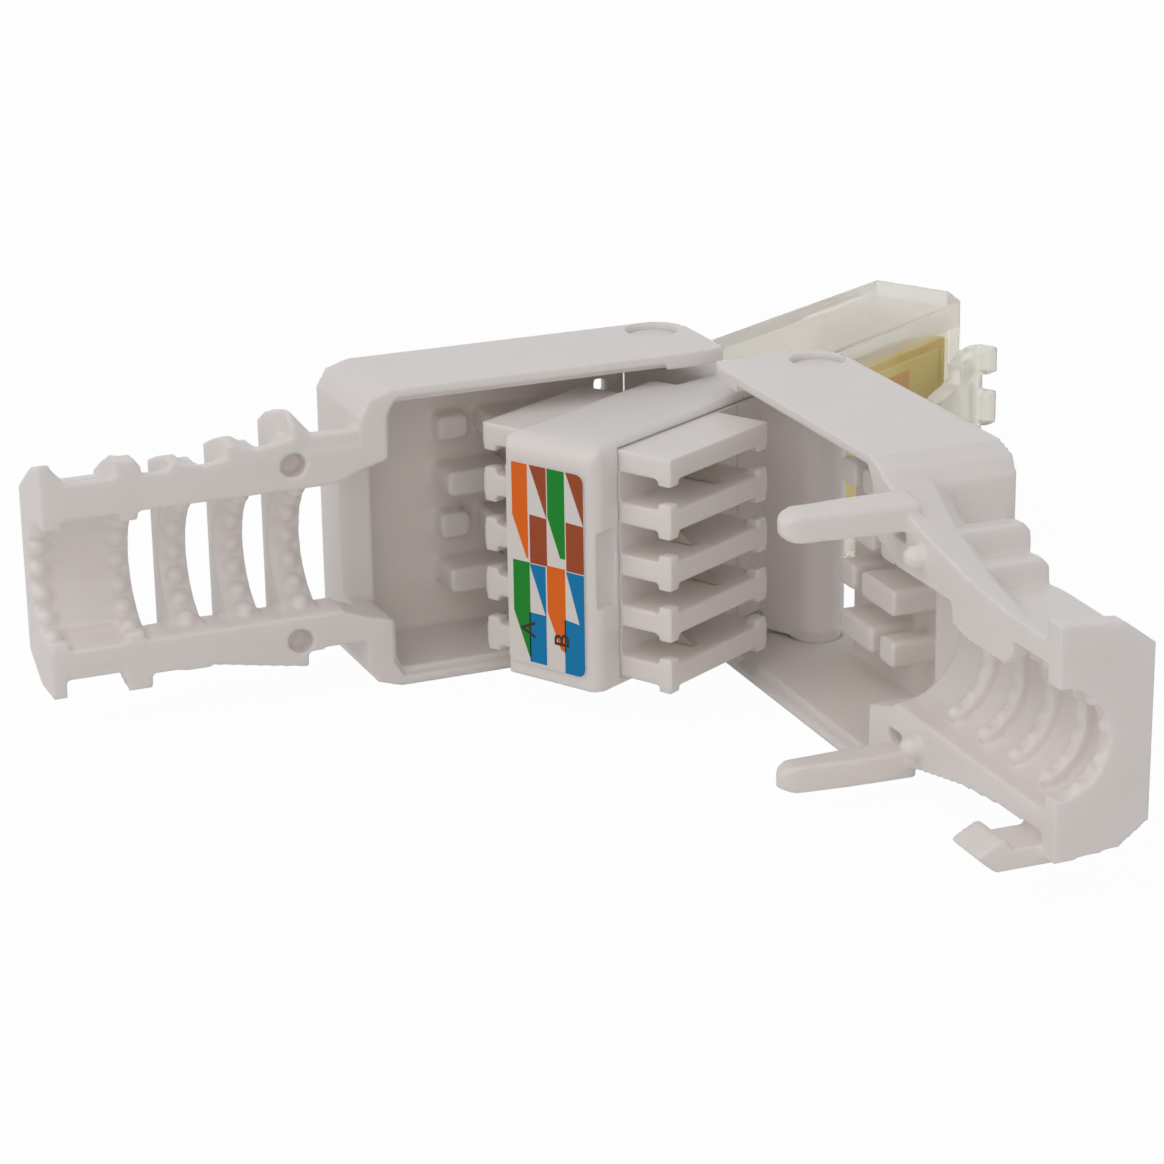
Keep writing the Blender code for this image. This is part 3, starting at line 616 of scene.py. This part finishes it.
@dataclass
class RibbedTail:
    """The finer forms of the open cable clamp: thicker saw teeth, sloping rails, round teeth.

    Outlines lie in v and z, and each row starts with the u where a form begins and ends.
    """

    cover: CoverMeasures
    channel: float = 3.2  # radius of the cable channel
    # Slabs on the cross plates, with their outlines above and below the channel
    fins: tuple[tuple[float, float, Outline, Outline], ...] = (
        (20.75, 21.3,
         ((4.05, 5.7), (2.8, 6.4), (1.05, 6.9), (1.05, 3.7), (0.05, 3.6)),
         ((0.05, -3.6), (1.05, -3.7), (1.05, -5.4), (1.4, -5.4), (4.05, -4.5))),
        (23.6, 24.05,
         ((4.05, 4.85), (2.6, 5.45), (0.8, 6.05), (0.0, 5.75)),
         ((0.0, -5.1), (1.4, -5.1), (4.05, -4.2))),
        (26.4, 26.85,
         ((4.05, 4.4), (2.6, 4.95), (0.8, 5.5), (0.0, 5.3)),
         ((0.0, -5.0), (1.4, -5.0), (4.05, -4.1))),
        (28.45, 28.95,
         ((4.2, 4.1), (3.0, 4.85), (1.2, 5.65), (0.0, 5.7)),
         ((0.0, -5.5), (1.3, -5.3), (4.2, -4.0))),
        (32.55, 33.08,
         ((4.2, 3.95), (2.6, 4.95), (1.65, 5.5), (0.0, 6.0)),
         ((0.0, -5.45), (2.26, -5.45), (4.2, -4.3))),
    )
    # Slopes up to the first and the last tooth, with the outlines at both ends
    ramps: tuple[tuple[float, float, Outline, Outline], ...] = (
        (19.8, 20.75,
         ((0.05, 5.0), (0.05, 5.6), (0.8, 5.83), (2.8, 5.5), (2.8, 5.0)),
         ((0.05, 5.0), (0.05, 6.35), (0.8, 6.95), (2.8, 6.4), (2.8, 5.0))),
        (31.8, 32.6,
         ((0.05, 4.4), (0.05, 4.95), (1.6, 4.7), (3.9, 3.9), (3.9, 3.6)),
         ((0.05, 4.4), (0.05, 5.9), (1.65, 5.5), (3.9, 4.3), (3.9, 3.6))),
    )
    # The ledge before the first tooth and the heel under the last gap
    bars: tuple[tuple[float, float, Outline], ...] = (
        (17.65, 19.83, ((0.05, 5.0), (0.05, 5.83), (1.5, 5.5), (1.5, 5.0))),
        (28.9, 32.4, ((0.05, -3.6), (0.05, -4.66), (1.2, -4.66), (1.2, -3.6))),
    )
    # The small lips at the mouth of the channel
    lip: Outline = ((0.05, 2.74), (0.75, 2.8), (0.95, 3.6), (0.05, 3.6))
    lip_spans: tuple[Point, ...] = ((28.47, 29.35), (32.13, 33.05))
    # The wall behind each peg hole
    backing: tuple[float, float, Outline] = (
        20.05, 21.45, ((1.05, 3.6), (1.9, 3.6), (1.9, 4.95), (1.05, 4.95)),
    )
    # Where the upper rail slopes, with its height at either end
    gaps: tuple[tuple[float, float, float, float], ...] = (
        (21.3, 22.53, 5.65, 5.45),
        (24.05, 25.38, 5.16, 4.95),
        (26.85, 28.23, 4.95, 4.95),
        (29.43, 32.25, 4.95, 4.95),
    )
    slope_v: Point = (0.35, 2.3)  # the depths between which it slopes
    slope_drop: float = 0.8  # how much lower it is at its back
    slope_over: float = 0.9  # how far the cutter reaches above it
    peg_u: float = 20.78  # the peg holes' place, heights, depths from and to, and radius
    peg_z: Point = (4.4, -4.47)
    peg_v: Point = (-0.5, 1.03)
    peg_radius: float = 0.6
    # What is cut off the plates' backs
    back_edge: tuple[float, float, Outline] = (
        18.6, 27.6, ((4.06, -8.0), (5.6, -8.0), (5.6, 8.0), (4.06, 8.0)),
    )
    tooth_places: tuple[float, ...] = (20.4, 23.2, 26.12, 28.9, 32.68)  # each row's u
    tooth_degrees: Sequence[int] = range(-66, 67, 22)
    tooth_out: float = 0.02  # how far their middles lie outside the channel's wall
    tooth_size: float = 0.5

    def more(self) -> tuple[Block, ...]:
        """Give the slabs on the cross plates, and the ramps, bars, lips and backings by them."""
        wall = arc((0.0, 0.0), self.channel, range(90, -91, -10))
        slabs = [(u0, u1, (*top, *wall, *foot)) for u0, u1, top, foot in self.fins]
        pairs = [*((u0, u1, self.lip) for u0, u1 in self.lip_spans), self.backing]
        return (
            *(self.cover.block(*form) for form in (*slabs, *self.ramps, *self.bars)),
            *(body for pair in pairs for body in self.cover.both_sides(*pair)),
        )

    def slope(self, height: float) -> Outline:
        """Outline what is cut off the upper rail.

        Args:
            height: the rail's height at its front.

        Returns:
            The outline in v and z.
        """
        front, back = self.slope_v
        over = height + self.slope_over
        return (front, height), (back, height - self.slope_drop), (back, over), (front, over)

    def peg_hole(self, height: float) -> Block:
        """Give the bore for a peg.

        Args:
            height: the z of its middle.

        Returns:
            Its rings in front of the rim and at its floor.
        """
        ring = arc((self.peg_u, height), self.peg_radius, range(0, 360, 20))
        start, floor = self.peg_v
        return (
            self.cover.points([(u, start, z) for u, z in ring]),
            self.cover.points([(u, floor, z) for u, z in ring]),
        )

    def less(self) -> tuple[Block, ...]:
        """Give the slopes cut along the upper rail, the peg holes and the plates' back edges."""
        return (
            *(self.cover.block(u0, u1, self.slope(a), self.slope(b)) for u0, u1, a, b in self.gaps),
            *(self.peg_hole(height) for height in self.peg_z),
            self.cover.block(*self.back_edge),
        )

    def teeth(self) -> tuple[Bead, ...]:
        """Give the round teeth on the inside of each plate."""
        radius = self.channel + self.tooth_out
        return self.cover.beads(self.tooth_places, radius, self.tooth_degrees, self.tooth_size)


@dataclass
class HookedTail:
    """The finer forms of the closed cable clamp: crisp finger steps and nibs in its collar."""

    cover: CoverMeasures
    # The small hollow at the root of each prong
    pocket: tuple[float, float, Outline] = (
        18.0, 19.35, ((-0.3, 4.45), (0.9, 4.55), (0.9, 5.1), (-0.3, 5.1)),
    )
    # Scoops under the finger steps: u from and to, their inner v, and their inner z at either end
    steps: tuple[tuple[float, float, float, float, float], ...] = (
        (17.5, 19.6, 3.1, 4.35, 5.0),
        (21.03, 22.9, 2.2, 3.95, 4.5),
        (23.93, 25.9, 1.9, 3.5, 3.84),
    )
    past: Point = (7.0, 6.2)  # a v and z past the cover, to which the scoops run
    nib_place: float = 32.7
    nib_radius: float = 2.5  # how far the nibs' middles lie from the channel's middle
    nib_degrees: tuple[int, ...] = (-60, -25, 10, 45)
    nib_size: float = 0.38

    def scoop(self, v: float, z: float) -> Outline:
        """Outline a scoop.

        Args:
            v: its inner depth.
            z: its inner height.

        Returns:
            The outline, which runs out past the cover.
        """
        past_v, past_z = self.past
        return (v, z), (past_v, z), (past_v, past_z), (v, past_z)

    def less(self) -> tuple[Block, ...]:
        """Give the pockets at the roots of the prongs and the scoops under each finger step."""
        scoops = [(u0, u1, self.scoop(v, a), self.scoop(v, b)) for u0, u1, v, a, b in self.steps]
        pairs = (self.pocket, *scoops)
        return tuple(body for pair in pairs for body in self.cover.both_sides(*pair))

    def teeth(self) -> tuple[Bead, ...]:
        """Give the nibs that stand inside the collar."""
        place = (self.nib_place,)
        return self.cover.beads(place, self.nib_radius, self.nib_degrees, self.nib_size)


@dataclass
class WhiteBody:
    """The white mouldings: both covers, the comb, its cap and the hinge carrier."""

    cover_cell: float = 0.12
    small_cell: float = 0.1
    left: CoverMeasures = CoverMeasures(-1, (-11.45, 5.19), -29.2)
    right: CoverMeasures = CoverMeasures(1, (-1.35, 5.19), 59.4)
    cap_front: float = 0.95  # radius of the cap's top front edge
    cap_side: float = 0.7  # radius of its right front edge
    cap_top: float = 0.6  # radius of its two top side edges
    recess_mm: float = 0.3  # how deep the pins' tops lie below the covers' faces
    recess_radius: float = 1.4
    # Plans in x and y of the carrier's foot, with their lower and upper height
    feet: tuple[tuple[Outline, float, float], ...] = (
        (((-9.6, 1.95), (-3.78, 1.95), (-3.78, 3.85), (-1.35, 3.85), (-1.1, 5.1),
          (-1.4, 6.5), (-11.4, 6.5), (-11.7, 5.1), (-11.45, 3.85), (-9.6, 3.85)), 0.9, 1.46),
        (((-11.2, 3.95), (-7.6, 3.95), (-7.6, 6.3), (-11.2, 6.3)), 1.3, 1.8),
    )

    def cap_edges(self) -> tuple[Block, ...]:
        """Give the cutters that round the cap's top front, right front and top side edges."""
        low, high = box_mm("rear_cap")
        left, y, bottom = low
        x, top = high[0], high[2]
        wide, deep, tall = high - low + 2 * PAST_MM
        front = [(left - PAST_MM, y + a, top - b) for a, b in self.round_over(self.cap_front)]
        side = [(x - a, y + b, bottom - PAST_MM) for a, b in self.round_over(self.cap_side)]
        tops = self.round_over(self.cap_top)
        return (
            self.pushed(front, (wide, 0, 0)),
            self.pushed(side, (0, 0, tall)),
            self.pushed([(x - a, y - PAST_MM, top - b) for a, b in tops], (0, deep, 0)),
            self.pushed([(left + a, y - PAST_MM, top - b) for a, b in tops], (0, deep, 0)),
        )

    def round_over(self, radius: float) -> list[Point]:
        """Outline what a round edge takes away, as distances inwards from its two faces.

        Points are (r - r sin t, r - r cos t) for t from 0 to 90 degrees, closed 1 mm outside the
        corner.

        Args:
            radius: the edge's radius in mm.

        Returns:
            The outline.
        """
        turns = np.radians(np.linspace(0, 90, 9))
        curve = [(radius * (1 - math.sin(t)), radius * (1 - math.cos(t))) for t in turns]
        return [(radius, -1.0), *curve, (-1.0, radius), (-1.0, -1.0)]

    def pushed(self, ring: Sequence[Spot], push: Spot) -> Block:
        """Push an outline along a line.

        Args:
            ring: its corners in mm.
            push: how far and which way, in mm.

        Returns:
            The two rings of points.
        """
        first = np.array(ring, float)
        return first, first + np.array(push, float)

    def upright(self, plan: Sequence[Point], bottom: float, top: float) -> Block:
        """Raise a plan from one height to another.

        Args:
            plan: its corners in x and y, in mm.
            bottom: the lower height.
            top: the upper height.

        Returns:
            The two rings of points.
        """
        return np.array([(x, y, bottom) for x, y in plan]), np.array([(x, y, top) for x, y in plan])

    def pin_recess(self, pin_mm: Point) -> Block:
        """Give the cut that sinks the top end of a hinge pin a little below its cover.

        It starts where the sunk top is to be, and ends 0.5 mm above the cover.

        Args:
            pin_mm: the pin's place.

        Returns:
            The two rings of points.
        """
        ring = arc(pin_mm, self.recess_radius, range(0, 360, 15))
        return self.upright(ring, TOP_MM - self.recess_mm, TOP_MM + 0.5)

    def build(self) -> None:
        """Round every white moulding and finish it."""
        ribbed, hooked = RibbedTail(self.left), HookedTail(self.right)
        plan = (
            Moulding("cover_ribbed", self.left.turn_deg, self.cover_cell, 2,
                     more=ribbed.more(), less=ribbed.less(), beads=ribbed.teeth()),
            Moulding("cover_hooked", self.right.turn_deg, self.cover_cell, 2,
                     less=hooked.less(), beads=hooked.teeth()),
            Moulding("terminal_comb", cell_mm=self.small_cell),
            Moulding("rear_cap", cell_mm=self.small_cell, passes=10, less=self.cap_edges()),
            # The foot fills the room between the carrier and the covers' floors
            Moulding("hinge_carrier", cell_mm=self.cover_cell,
                     more=tuple(self.upright(*foot) for foot in self.feet),
                     less=tuple(self.pin_recess(c.pin_mm) for c in (self.left, self.right))),
        )
        for moulding in plan:
            piece = moulding.build(moulding.node + "_moulded")
            Finishes.WHITE_ABS.put_on(piece)


@dataclass
class WiringLabel:
    """The paper label with the two wiring orders as fields of colour.

    Places on it are given as shares of its width from the left and of its height from the top.
    """

    proud_mm: float = 0.006  # how far the ink stands out from the paper
    bed_mm: float = 0.001  # how far its underside lies above the paper
    corner: float = 0.09  # radius of the label's corners, with its width as the unit
    margin: float = 0.075  # the blank strip at its left edge
    letter_mm: float = 1.25
    letter_over_mm: float = 0.004  # how far a letter's middle lies above the ink
    letters: tuple[tuple[str, float, float], ...] = (("A", 0.27, 0.82), ("B", 0.71, 0.84))
    fields: dict[Finishes, tuple[Outline, ...]] = field(
        default_factory=lambda: {
            Finishes.INK_ORANGE: (
                ((0.0, 0.0), (0.22, 0.0), (0.22, 0.465), (0.195, 0.465), (0.0, 0.26)),
                ((0.48, 0.48), (0.735, 0.48), (0.735, 0.9), (0.66, 0.885), (0.48, 0.71)),
            ),
            Finishes.INK_BROWN: (
                ((0.25, 0.0), (0.485, 0.0), (0.485, 0.25)),
                ((0.245, 0.245), (0.485, 0.25), (0.485, 0.485), (0.245, 0.485)),
                ((0.76, 0.0), (1.0, 0.0), (1.0, 0.25)),
                ((0.755, 0.245), (1.0, 0.25), (1.0, 0.485), (0.755, 0.485)),
            ),
            Finishes.INK_GREEN: (
                ((0.5, 0.0), (0.74, 0.0), (0.74, 0.43), (0.67, 0.43), (0.5, 0.24)),
                ((0.0, 0.485), (0.235, 0.485), (0.235, 0.97), (0.21, 0.96), (0.0, 0.74)),
            ),
            Finishes.INK_BLUE: (
                ((0.235, 0.49), (0.46, 0.49), (0.46, 0.745)),
                ((0.22, 0.735), (0.46, 0.735), (0.46, 0.985), (0.22, 0.985)),
                ((0.75, 0.49), (1.0, 0.49), (1.0, 1.0), (0.72, 1.0), (0.72, 0.73), (0.93, 0.74)),
            ),
        }
    )

    def place(self, spots: np.ndarray, lift: float) -> np.ndarray:
        """Set shares of the label on its outer face.

        x = x0 + s (x1 - x0), z = z1 - t (z1 - z0), and y is lift mm in front of the face.

        Args:
            spots: rows of the two shares s and t.
            lift: how far the points stand proud, in mm.

        Returns:
            Rows of x, y, z in mm.
        """
        low, high = box_mm("wiring_label")
        x = low[0] + spots[:, 0] * (high[0] - low[0])
        z = high[2] - spots[:, 1] * (high[2] - low[2])
        return np.stack([x, np.full(len(x), low[1] - lift), z], -1)

    def inside_corners(self, spots: np.ndarray) -> np.ndarray:
        """Pull points that fall in the label's cut corners back onto its rounded outline.

        In a corner of radius r a point p goes to c + r (p - c) / |p - c| about the corner's
        centre c, with the label's width as the unit.

        Args:
            spots: rows of the two shares.

        Returns:
            The moved rows.
        """
        low, high = box_mm("wiring_label")
        tall = (high[2] - low[2]) / (high[0] - low[0])
        p = spots * (1.0, tall)
        r = self.corner
        c = np.stack([np.clip(p[:, 0], r, 1 - r), np.clip(p[:, 1], r, tall - r)], -1)
        away = p - c
        far = np.linalg.norm(away, axis=1, keepdims=True)
        p = np.where(far > r, c + away * r / np.maximum(far, 1e-9), p)
        return p / (1.0, tall)

    def field_mesh(self, name: str, outline: Outline) -> bpy.types.Object:
        """Lay one field of ink: a polygon whose sides are cut in short steps.

        Args:
            name: the object's name.
            outline: its corners as shares of the label, either way round.

        Returns:
            The field, a thin plate.
        """
        corners = np.array(outline, float)
        corners[:, 0] = self.margin + (1 - self.margin) * corners[:, 0]
        steps = np.linspace(0, 1, 24, endpoint=False)[None, :, None]
        following = np.roll(corners, -1, 0)
        spots = (corners[:, None] * (1 - steps) + following[:, None] * steps).reshape(-1, 2)
        spots = self.inside_corners(spots)
        following = np.roll(spots, -1, 0)
        area = np.sum(spots[:, 0] * following[:, 1] - spots[:, 1] * following[:, 0])
        spots = spots[::-1] if area > 0 else spots
        count = len(spots)
        points = np.concatenate([self.place(spots, self.proud_mm), self.place(spots, self.bed_mm)])
        side = np.arange(count)
        other = (side + 1) % count
        walls = np.stack([side, side + count, other + count, other], -1).tolist()
        caps = [list(range(count)), list(range(2 * count - 1, count - 1, -1))]
        made = new_object(name, points, caps + walls)
        fix = bmesh.new()
        fix.from_mesh(made.data)
        bmesh.ops.recalc_face_normals(fix, faces=fix.faces)
        fix.to_mesh(made.data)
        fix.free()
        return made

    def letter(self, text: str, s: float, t: float) -> bpy.types.Object:
        """Print one letter, turned a quarter so that it reads along the label.

        Args:
            text: the letter.
            s: share of the width at its middle.
            t: share of the height at its middle.

        Returns:
            The letter, made a mesh.
        """
        curve = bpy.data.curves.new("letter_" + text, "FONT")
        curve.body, curve.size = text, self.letter_mm * MM
        curve.align_x, curve.align_y = "CENTER", "CENTER"
        # The strokes are 0.01 mm fatter than the font's, and 0.004 mm thick
        curve.offset, curve.extrude = 0.00001, 0.000002
        holder = linked("holder", curve)
        mesh = applied(holder)
        bpy.data.objects.remove(holder)
        lift = self.proud_mm + self.letter_over_mm
        spot = Vector(self.place(np.array([[s, t]]), lift)[0] * MM)
        stand = Matrix.Rotation(math.pi / 2, 4, "X") @ Matrix.Rotation(math.pi / 2, 4, "Z")
        mesh.transform(Matrix.Translation(spot) @ stand)
        return linked("label_letter_" + text.lower(), mesh)

    def build(self) -> None:
        """Print the label."""
        Finishes.PAPER.put_on(frame["nodes"]["wiring_label"])
        prints = [
            (ink, self.field_mesh(f"{ink.value.name}_{number}", outline))
            for ink, outlines in self.fields.items()
            for number, outline in enumerate(outlines, 1)
        ]
        prints += [(Finishes.INK_BLACK, self.letter(*letter)) for letter in self.letters]
        for ink, piece in prints:
            ink.put_on(piece)
            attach(piece, "base")
        log.info("wiring label: %d fields and letters", len(prints))


@dataclass
class ContactNose:
    """The clear nose, its latch, the board in it and all stamped metal. Sizes are in mm."""

    cell: float = 0.12
    window_over: float = 0.6  # how far the polished window reaches above the board
    polished_roughness: float = 0.04
    polished_clear: float = 0.97
    fork_tip: float = 2.05  # how far a terminal's tines reach from its root
    fork_throat: float = 1.3  # where their lead-in ends and the slot begins
    fork_floor: float = 0.35  # where the slot ends
    fork_slot: float = 0.13  # half the slot's width

    def build(self) -> None:
        """Round the clear mouldings and finish the nose, board and metal."""
        for node in ("plug_nose", "latch_lever"):
            piece = Moulding(node, 0.0, self.cell, passes=2).build(node + "_clear")
            finish = Finishes.WINDOW_PC if node == "plug_nose" else Finishes.CLEAR_PC
            finish.put_on(piece)
        self.polish_window()
        Finishes.LAMINATE.put_on(frame["nodes"]["circuit_board"])
        for name, node in frame["nodes"].items():
            if name.startswith("contact_"):
                Finishes.GOLD.put_on(node)
            if name.startswith(("terminal_left", "terminal_right")):
                self.fork(name)
        self.board_areas()
        log.info("contact nose: board, blades and terminals dressed")

    def polish_window(self) -> None:
        """Polish the nose's material where it stands in front of the board.

        The mask is one where x > x0 and z < z0, with the board's face as x0, and z0 a little
        above its top edge.
        """
        _, high = box_mm("circuit_board")
        satin = Finishes.WINDOW_PC.value
        tree = satin.make().node_tree
        shader = tree.nodes["Principled BSDF"]
        place = add(tree, "ShaderNodeTexCoord").outputs["Object"]
        parts = add(tree, "ShaderNodeSeparateXYZ", {"Vector": place}).outputs
        right = computed(tree, "GREATER_THAN", parts["X"], high[0] * MM)
        below = computed(tree, "LESS_THAN", parts["Z"], (high[2] + self.window_over) * MM)
        mask = computed(tree, "MULTIPLY", right, below)
        for socket, outside, inside in (
            ("Roughness", satin.roughness, self.polished_roughness),
            ("Transmission Weight", satin.clear, self.polished_clear),
        ):
            links = {"Value": mask, "To Min": outside, "To Max": inside}
            value = add(tree, "ShaderNodeMapRange", links).outputs[0]
            tree.links.new(value, shader.inputs[socket])

    def fork(self, node: str) -> None:
        """Make one insulation displacing fork, with the wide lead-in of its two tines.

        Args:
            node: the CAD node that it stands for.
        """
        low, high = box_mm(node)
        side = 1 if node.startswith("terminal_right") else -1
        root = low[0] if side > 0 else high[0]
        middle, half = (low[2] + high[2]) / 2, (high[2] - low[2]) / 2
        tine = ((0.0, half), (self.fork_tip, half), (self.fork_throat, self.fork_slot),
                (self.fork_floor, self.fork_slot))
        shape = [*((a, -b) for a, b in tine), *reversed(tine)]
        rings = [[(root + side * a, y, middle + b) for a, b in shape] for y in (low[1], high[1])]
        work = bmesh.new()
        add_block(work, *(np.array(ring) * MM for ring in rings))
        mesh = as_mesh(work, node + "_fork")
        made = linked(mesh.name, mesh)
        Finishes.TIN.put_on(made)
        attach(made, body_of(frame["nodes"][node])[0])
        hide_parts(node)

    def board_areas(self) -> None:
        """Lay the areas of the board that show through the nose: border, bright line and copper."""
        low, high = box_mm("circuit_board")
        face, end, top = high[0], high[1], high[2]
        bed, proud, line_proud = face + 0.002, face + 0.03, face + 0.04
        # Name, finish, outer face, then from and to in y and from and to in z
        areas = (
            ("top_border", Finishes.MASK_EDGE, proud, low[1], end, top - 0.42, top),
            ("front_border", Finishes.MASK_EDGE, proud, end - 0.5, end, low[2], top - 0.43),
            ("top_line", Finishes.MASK_LINE, line_proud,
             low[1], end - 0.51, top - 0.53, top - 0.43),
            ("front_line", Finishes.MASK_LINE, line_proud,
             end - 0.25, end - 0.17, low[2] + 3.0, top - 0.54),
            ("copper", Finishes.COPPER, proud, 16.6, 20.45, 8.4, 10.35),
        )
        sides = ((4, 5, 6, 7), (3, 2, 1, 0), (0, 1, 5, 4), (1, 2, 6, 5), (2, 3, 7, 6), (3, 0, 4, 7))
        for name, finish, out, y0, y1, z0, z1 in areas:
            corners = ((y0, z0), (y1, z0), (y1, z1), (y0, z1))
            points = np.array([[x, y, z] for x in (bed, out) for y, z in corners])
            piece = new_object(f"board_{name}", points, sides)
            finish.put_on(piece)
            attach(piece, "base")


# Studio


@dataclass
class Studio:
    """The pale floor, the soft lights and the camera at the photo's angle, in degrees."""

    azimuth: float = 38.022
    elevation: float = 18.906
    roll: float = -0.856
    focal_px: float = 3347.42  # focal length in pixels of the photo
    image_px: int = 1164
    distance_mm: float = 174.561
    target_mm: Spot = (-14.908, 3.578, 1.247)
    sensor_mm: float = 36.0
    ambient: float = 0.45  # strength of the surroundings as a light
    sky: str = "#f4faff"
    floor_mm: float = 600.0  # half the floor's side
    floor_drop_mm: float = 0.02  # how far it lies below the plug
    floor_white: float = 0.97  # share of plain white in its look, the rest takes the shadow
    # Name, place in mm, side in mm, power in watts and colour
    lamps: tuple[tuple[str, Spot, float, float, str], ...] = (
        ("lamp_fill", (230.0, -260.0, 110.0), 300.0, 0.16, "#fff1ec"),
        ("lamp_left", (-80.0, -230.0, 300.0), 300.0, 0.34, "#fff1ec"),
    )
    lit_mm: Spot = (0.0, 0.0, 8.0)  # the point that the lamps face

    def camera(self) -> None:
        """Set the camera where the photo was taken from."""
        a, e, r = (math.radians(v) for v in (self.azimuth, self.elevation, self.roll))
        back = Vector((math.sin(a) * math.cos(e), -math.cos(a) * math.cos(e), math.sin(e)))
        right = Vector((math.cos(a), math.sin(a), 0))
        up = back.cross(right)
        side = right * math.cos(r) + up * math.sin(r)
        top = -right * math.sin(r) + up * math.cos(r)
        place = Matrix((side, top, back)).transposed().to_4x4()
        place.translation = (Vector(self.target_mm) + back * self.distance_mm) * MM
        data = bpy.data.cameras.new("camera")
        data.sensor_width = self.sensor_mm
        data.lens = self.sensor_mm * self.focal_px / self.image_px
        data.clip_start, data.clip_end = 0.005, 10.0
        made = linked("camera", data)
        made.matrix_world = place
        bpy.context.scene.camera = made

    def seen_white(self, tree: bpy.types.NodeTree) -> bpy.types.NodeSocket:
        """Tell rays that should find a white background from those that light the object.

        Args:
            tree: the node tree it goes into.

        Returns:
            A socket that is one for camera, glossy and transmission rays.
        """
        path = add(tree, "ShaderNodeLightPath").outputs
        first = computed(tree, "MAXIMUM", path["Is Camera Ray"], path["Is Glossy Ray"])
        return computed(tree, "MAXIMUM", first, path["Is Transmission Ray"])

    def world(self) -> None:
        """Make the surroundings: white to look at, softer and bluer as a light."""
        made = bpy.data.worlds.new("studio")
        bpy.context.scene.world = made
        made.use_nodes = True
        tree = made.node_tree
        tree.nodes.clear()
        seen = self.seen_white(tree)
        links = {"Value": seen, "To Min": self.ambient, "To Max": 1.0}
        strength = add(tree, "ShaderNodeMapRange", links).outputs[0]
        tint = mixed(tree, seen, linear(self.sky), linear("#ffffff"))
        shine = add(tree, "ShaderNodeBackground", {"Color": tint, "Strength": strength})
        add(tree, "ShaderNodeOutputWorld", {"Surface": shine.outputs[0]})

    def floor(self) -> None:
        """Lay the floor: white to look at, with a little of the object's shadow on it."""
        s, z = self.floor_mm, -self.floor_drop_mm
        points = np.array([[-s, -s, z], [s, -s, z], [s, s, z], [-s, s, z]])
        made = new_object("floor", points, ((0, 1, 2, 3),))
        paint = bpy.data.materials.new("floor_paint")
        paint.use_nodes = True
        tree = paint.node_tree
        tree.nodes.clear()
        matt = add(tree, "ShaderNodeBsdfDiffuse", {"Color": linear("#f2f1ef")})
        shine = add(tree, "ShaderNodeEmission", {"Color": linear("#ffffff"), "Strength": 1.0})
        share = computed(tree, "MULTIPLY", self.seen_white(tree), self.floor_white)
        links = {0: share, 1: matt.outputs[0], 2: shine.outputs[0]}
        mix = add(tree, "ShaderNodeMixShader", links)
        add(tree, "ShaderNodeOutputMaterial", {"Surface": mix.outputs[0]})
        made.data.materials.append(paint)

    def lamp(self, name: str, spot: Spot, size_mm: float, watts: float, tint: str) -> None:
        """Hang a soft square lamp that faces the object.

        Args:
            name: the lamp's name.
            spot: its place in mm.
            size_mm: the length of its side.
            watts: its power.
            tint: its colour.
        """
        data = bpy.data.lights.new(name, "AREA")
        data.color = linear(tint)[:3]
        data.shape, data.size, data.energy = "SQUARE", size_mm * MM, watts
        made = linked(name, data)
        made.location = Vector(spot) * MM
        away = Vector(self.lit_mm) - Vector(spot)
        made.rotation_euler = away.to_track_quat("-Z", "Y").to_euler()

    def build(self) -> None:
        """Set up floor, surroundings, lamps and camera."""
        self.world()
        self.floor()
        for lamp in self.lamps:
            self.lamp(*lamp)
        self.camera()
        bpy.context.scene.view_settings.view_transform = "Standard"
        log.info("studio set")


def main() -> None:
    """Build every sub-assembly in order and report it."""
    logging.basicConfig(level=logging.INFO, format="%(name)s: %(message)s")
    WhiteBody().build()
    WiringLabel().build()
    ContactNose().build()
    Studio().build()


if __name__ == "__main__":
    main()
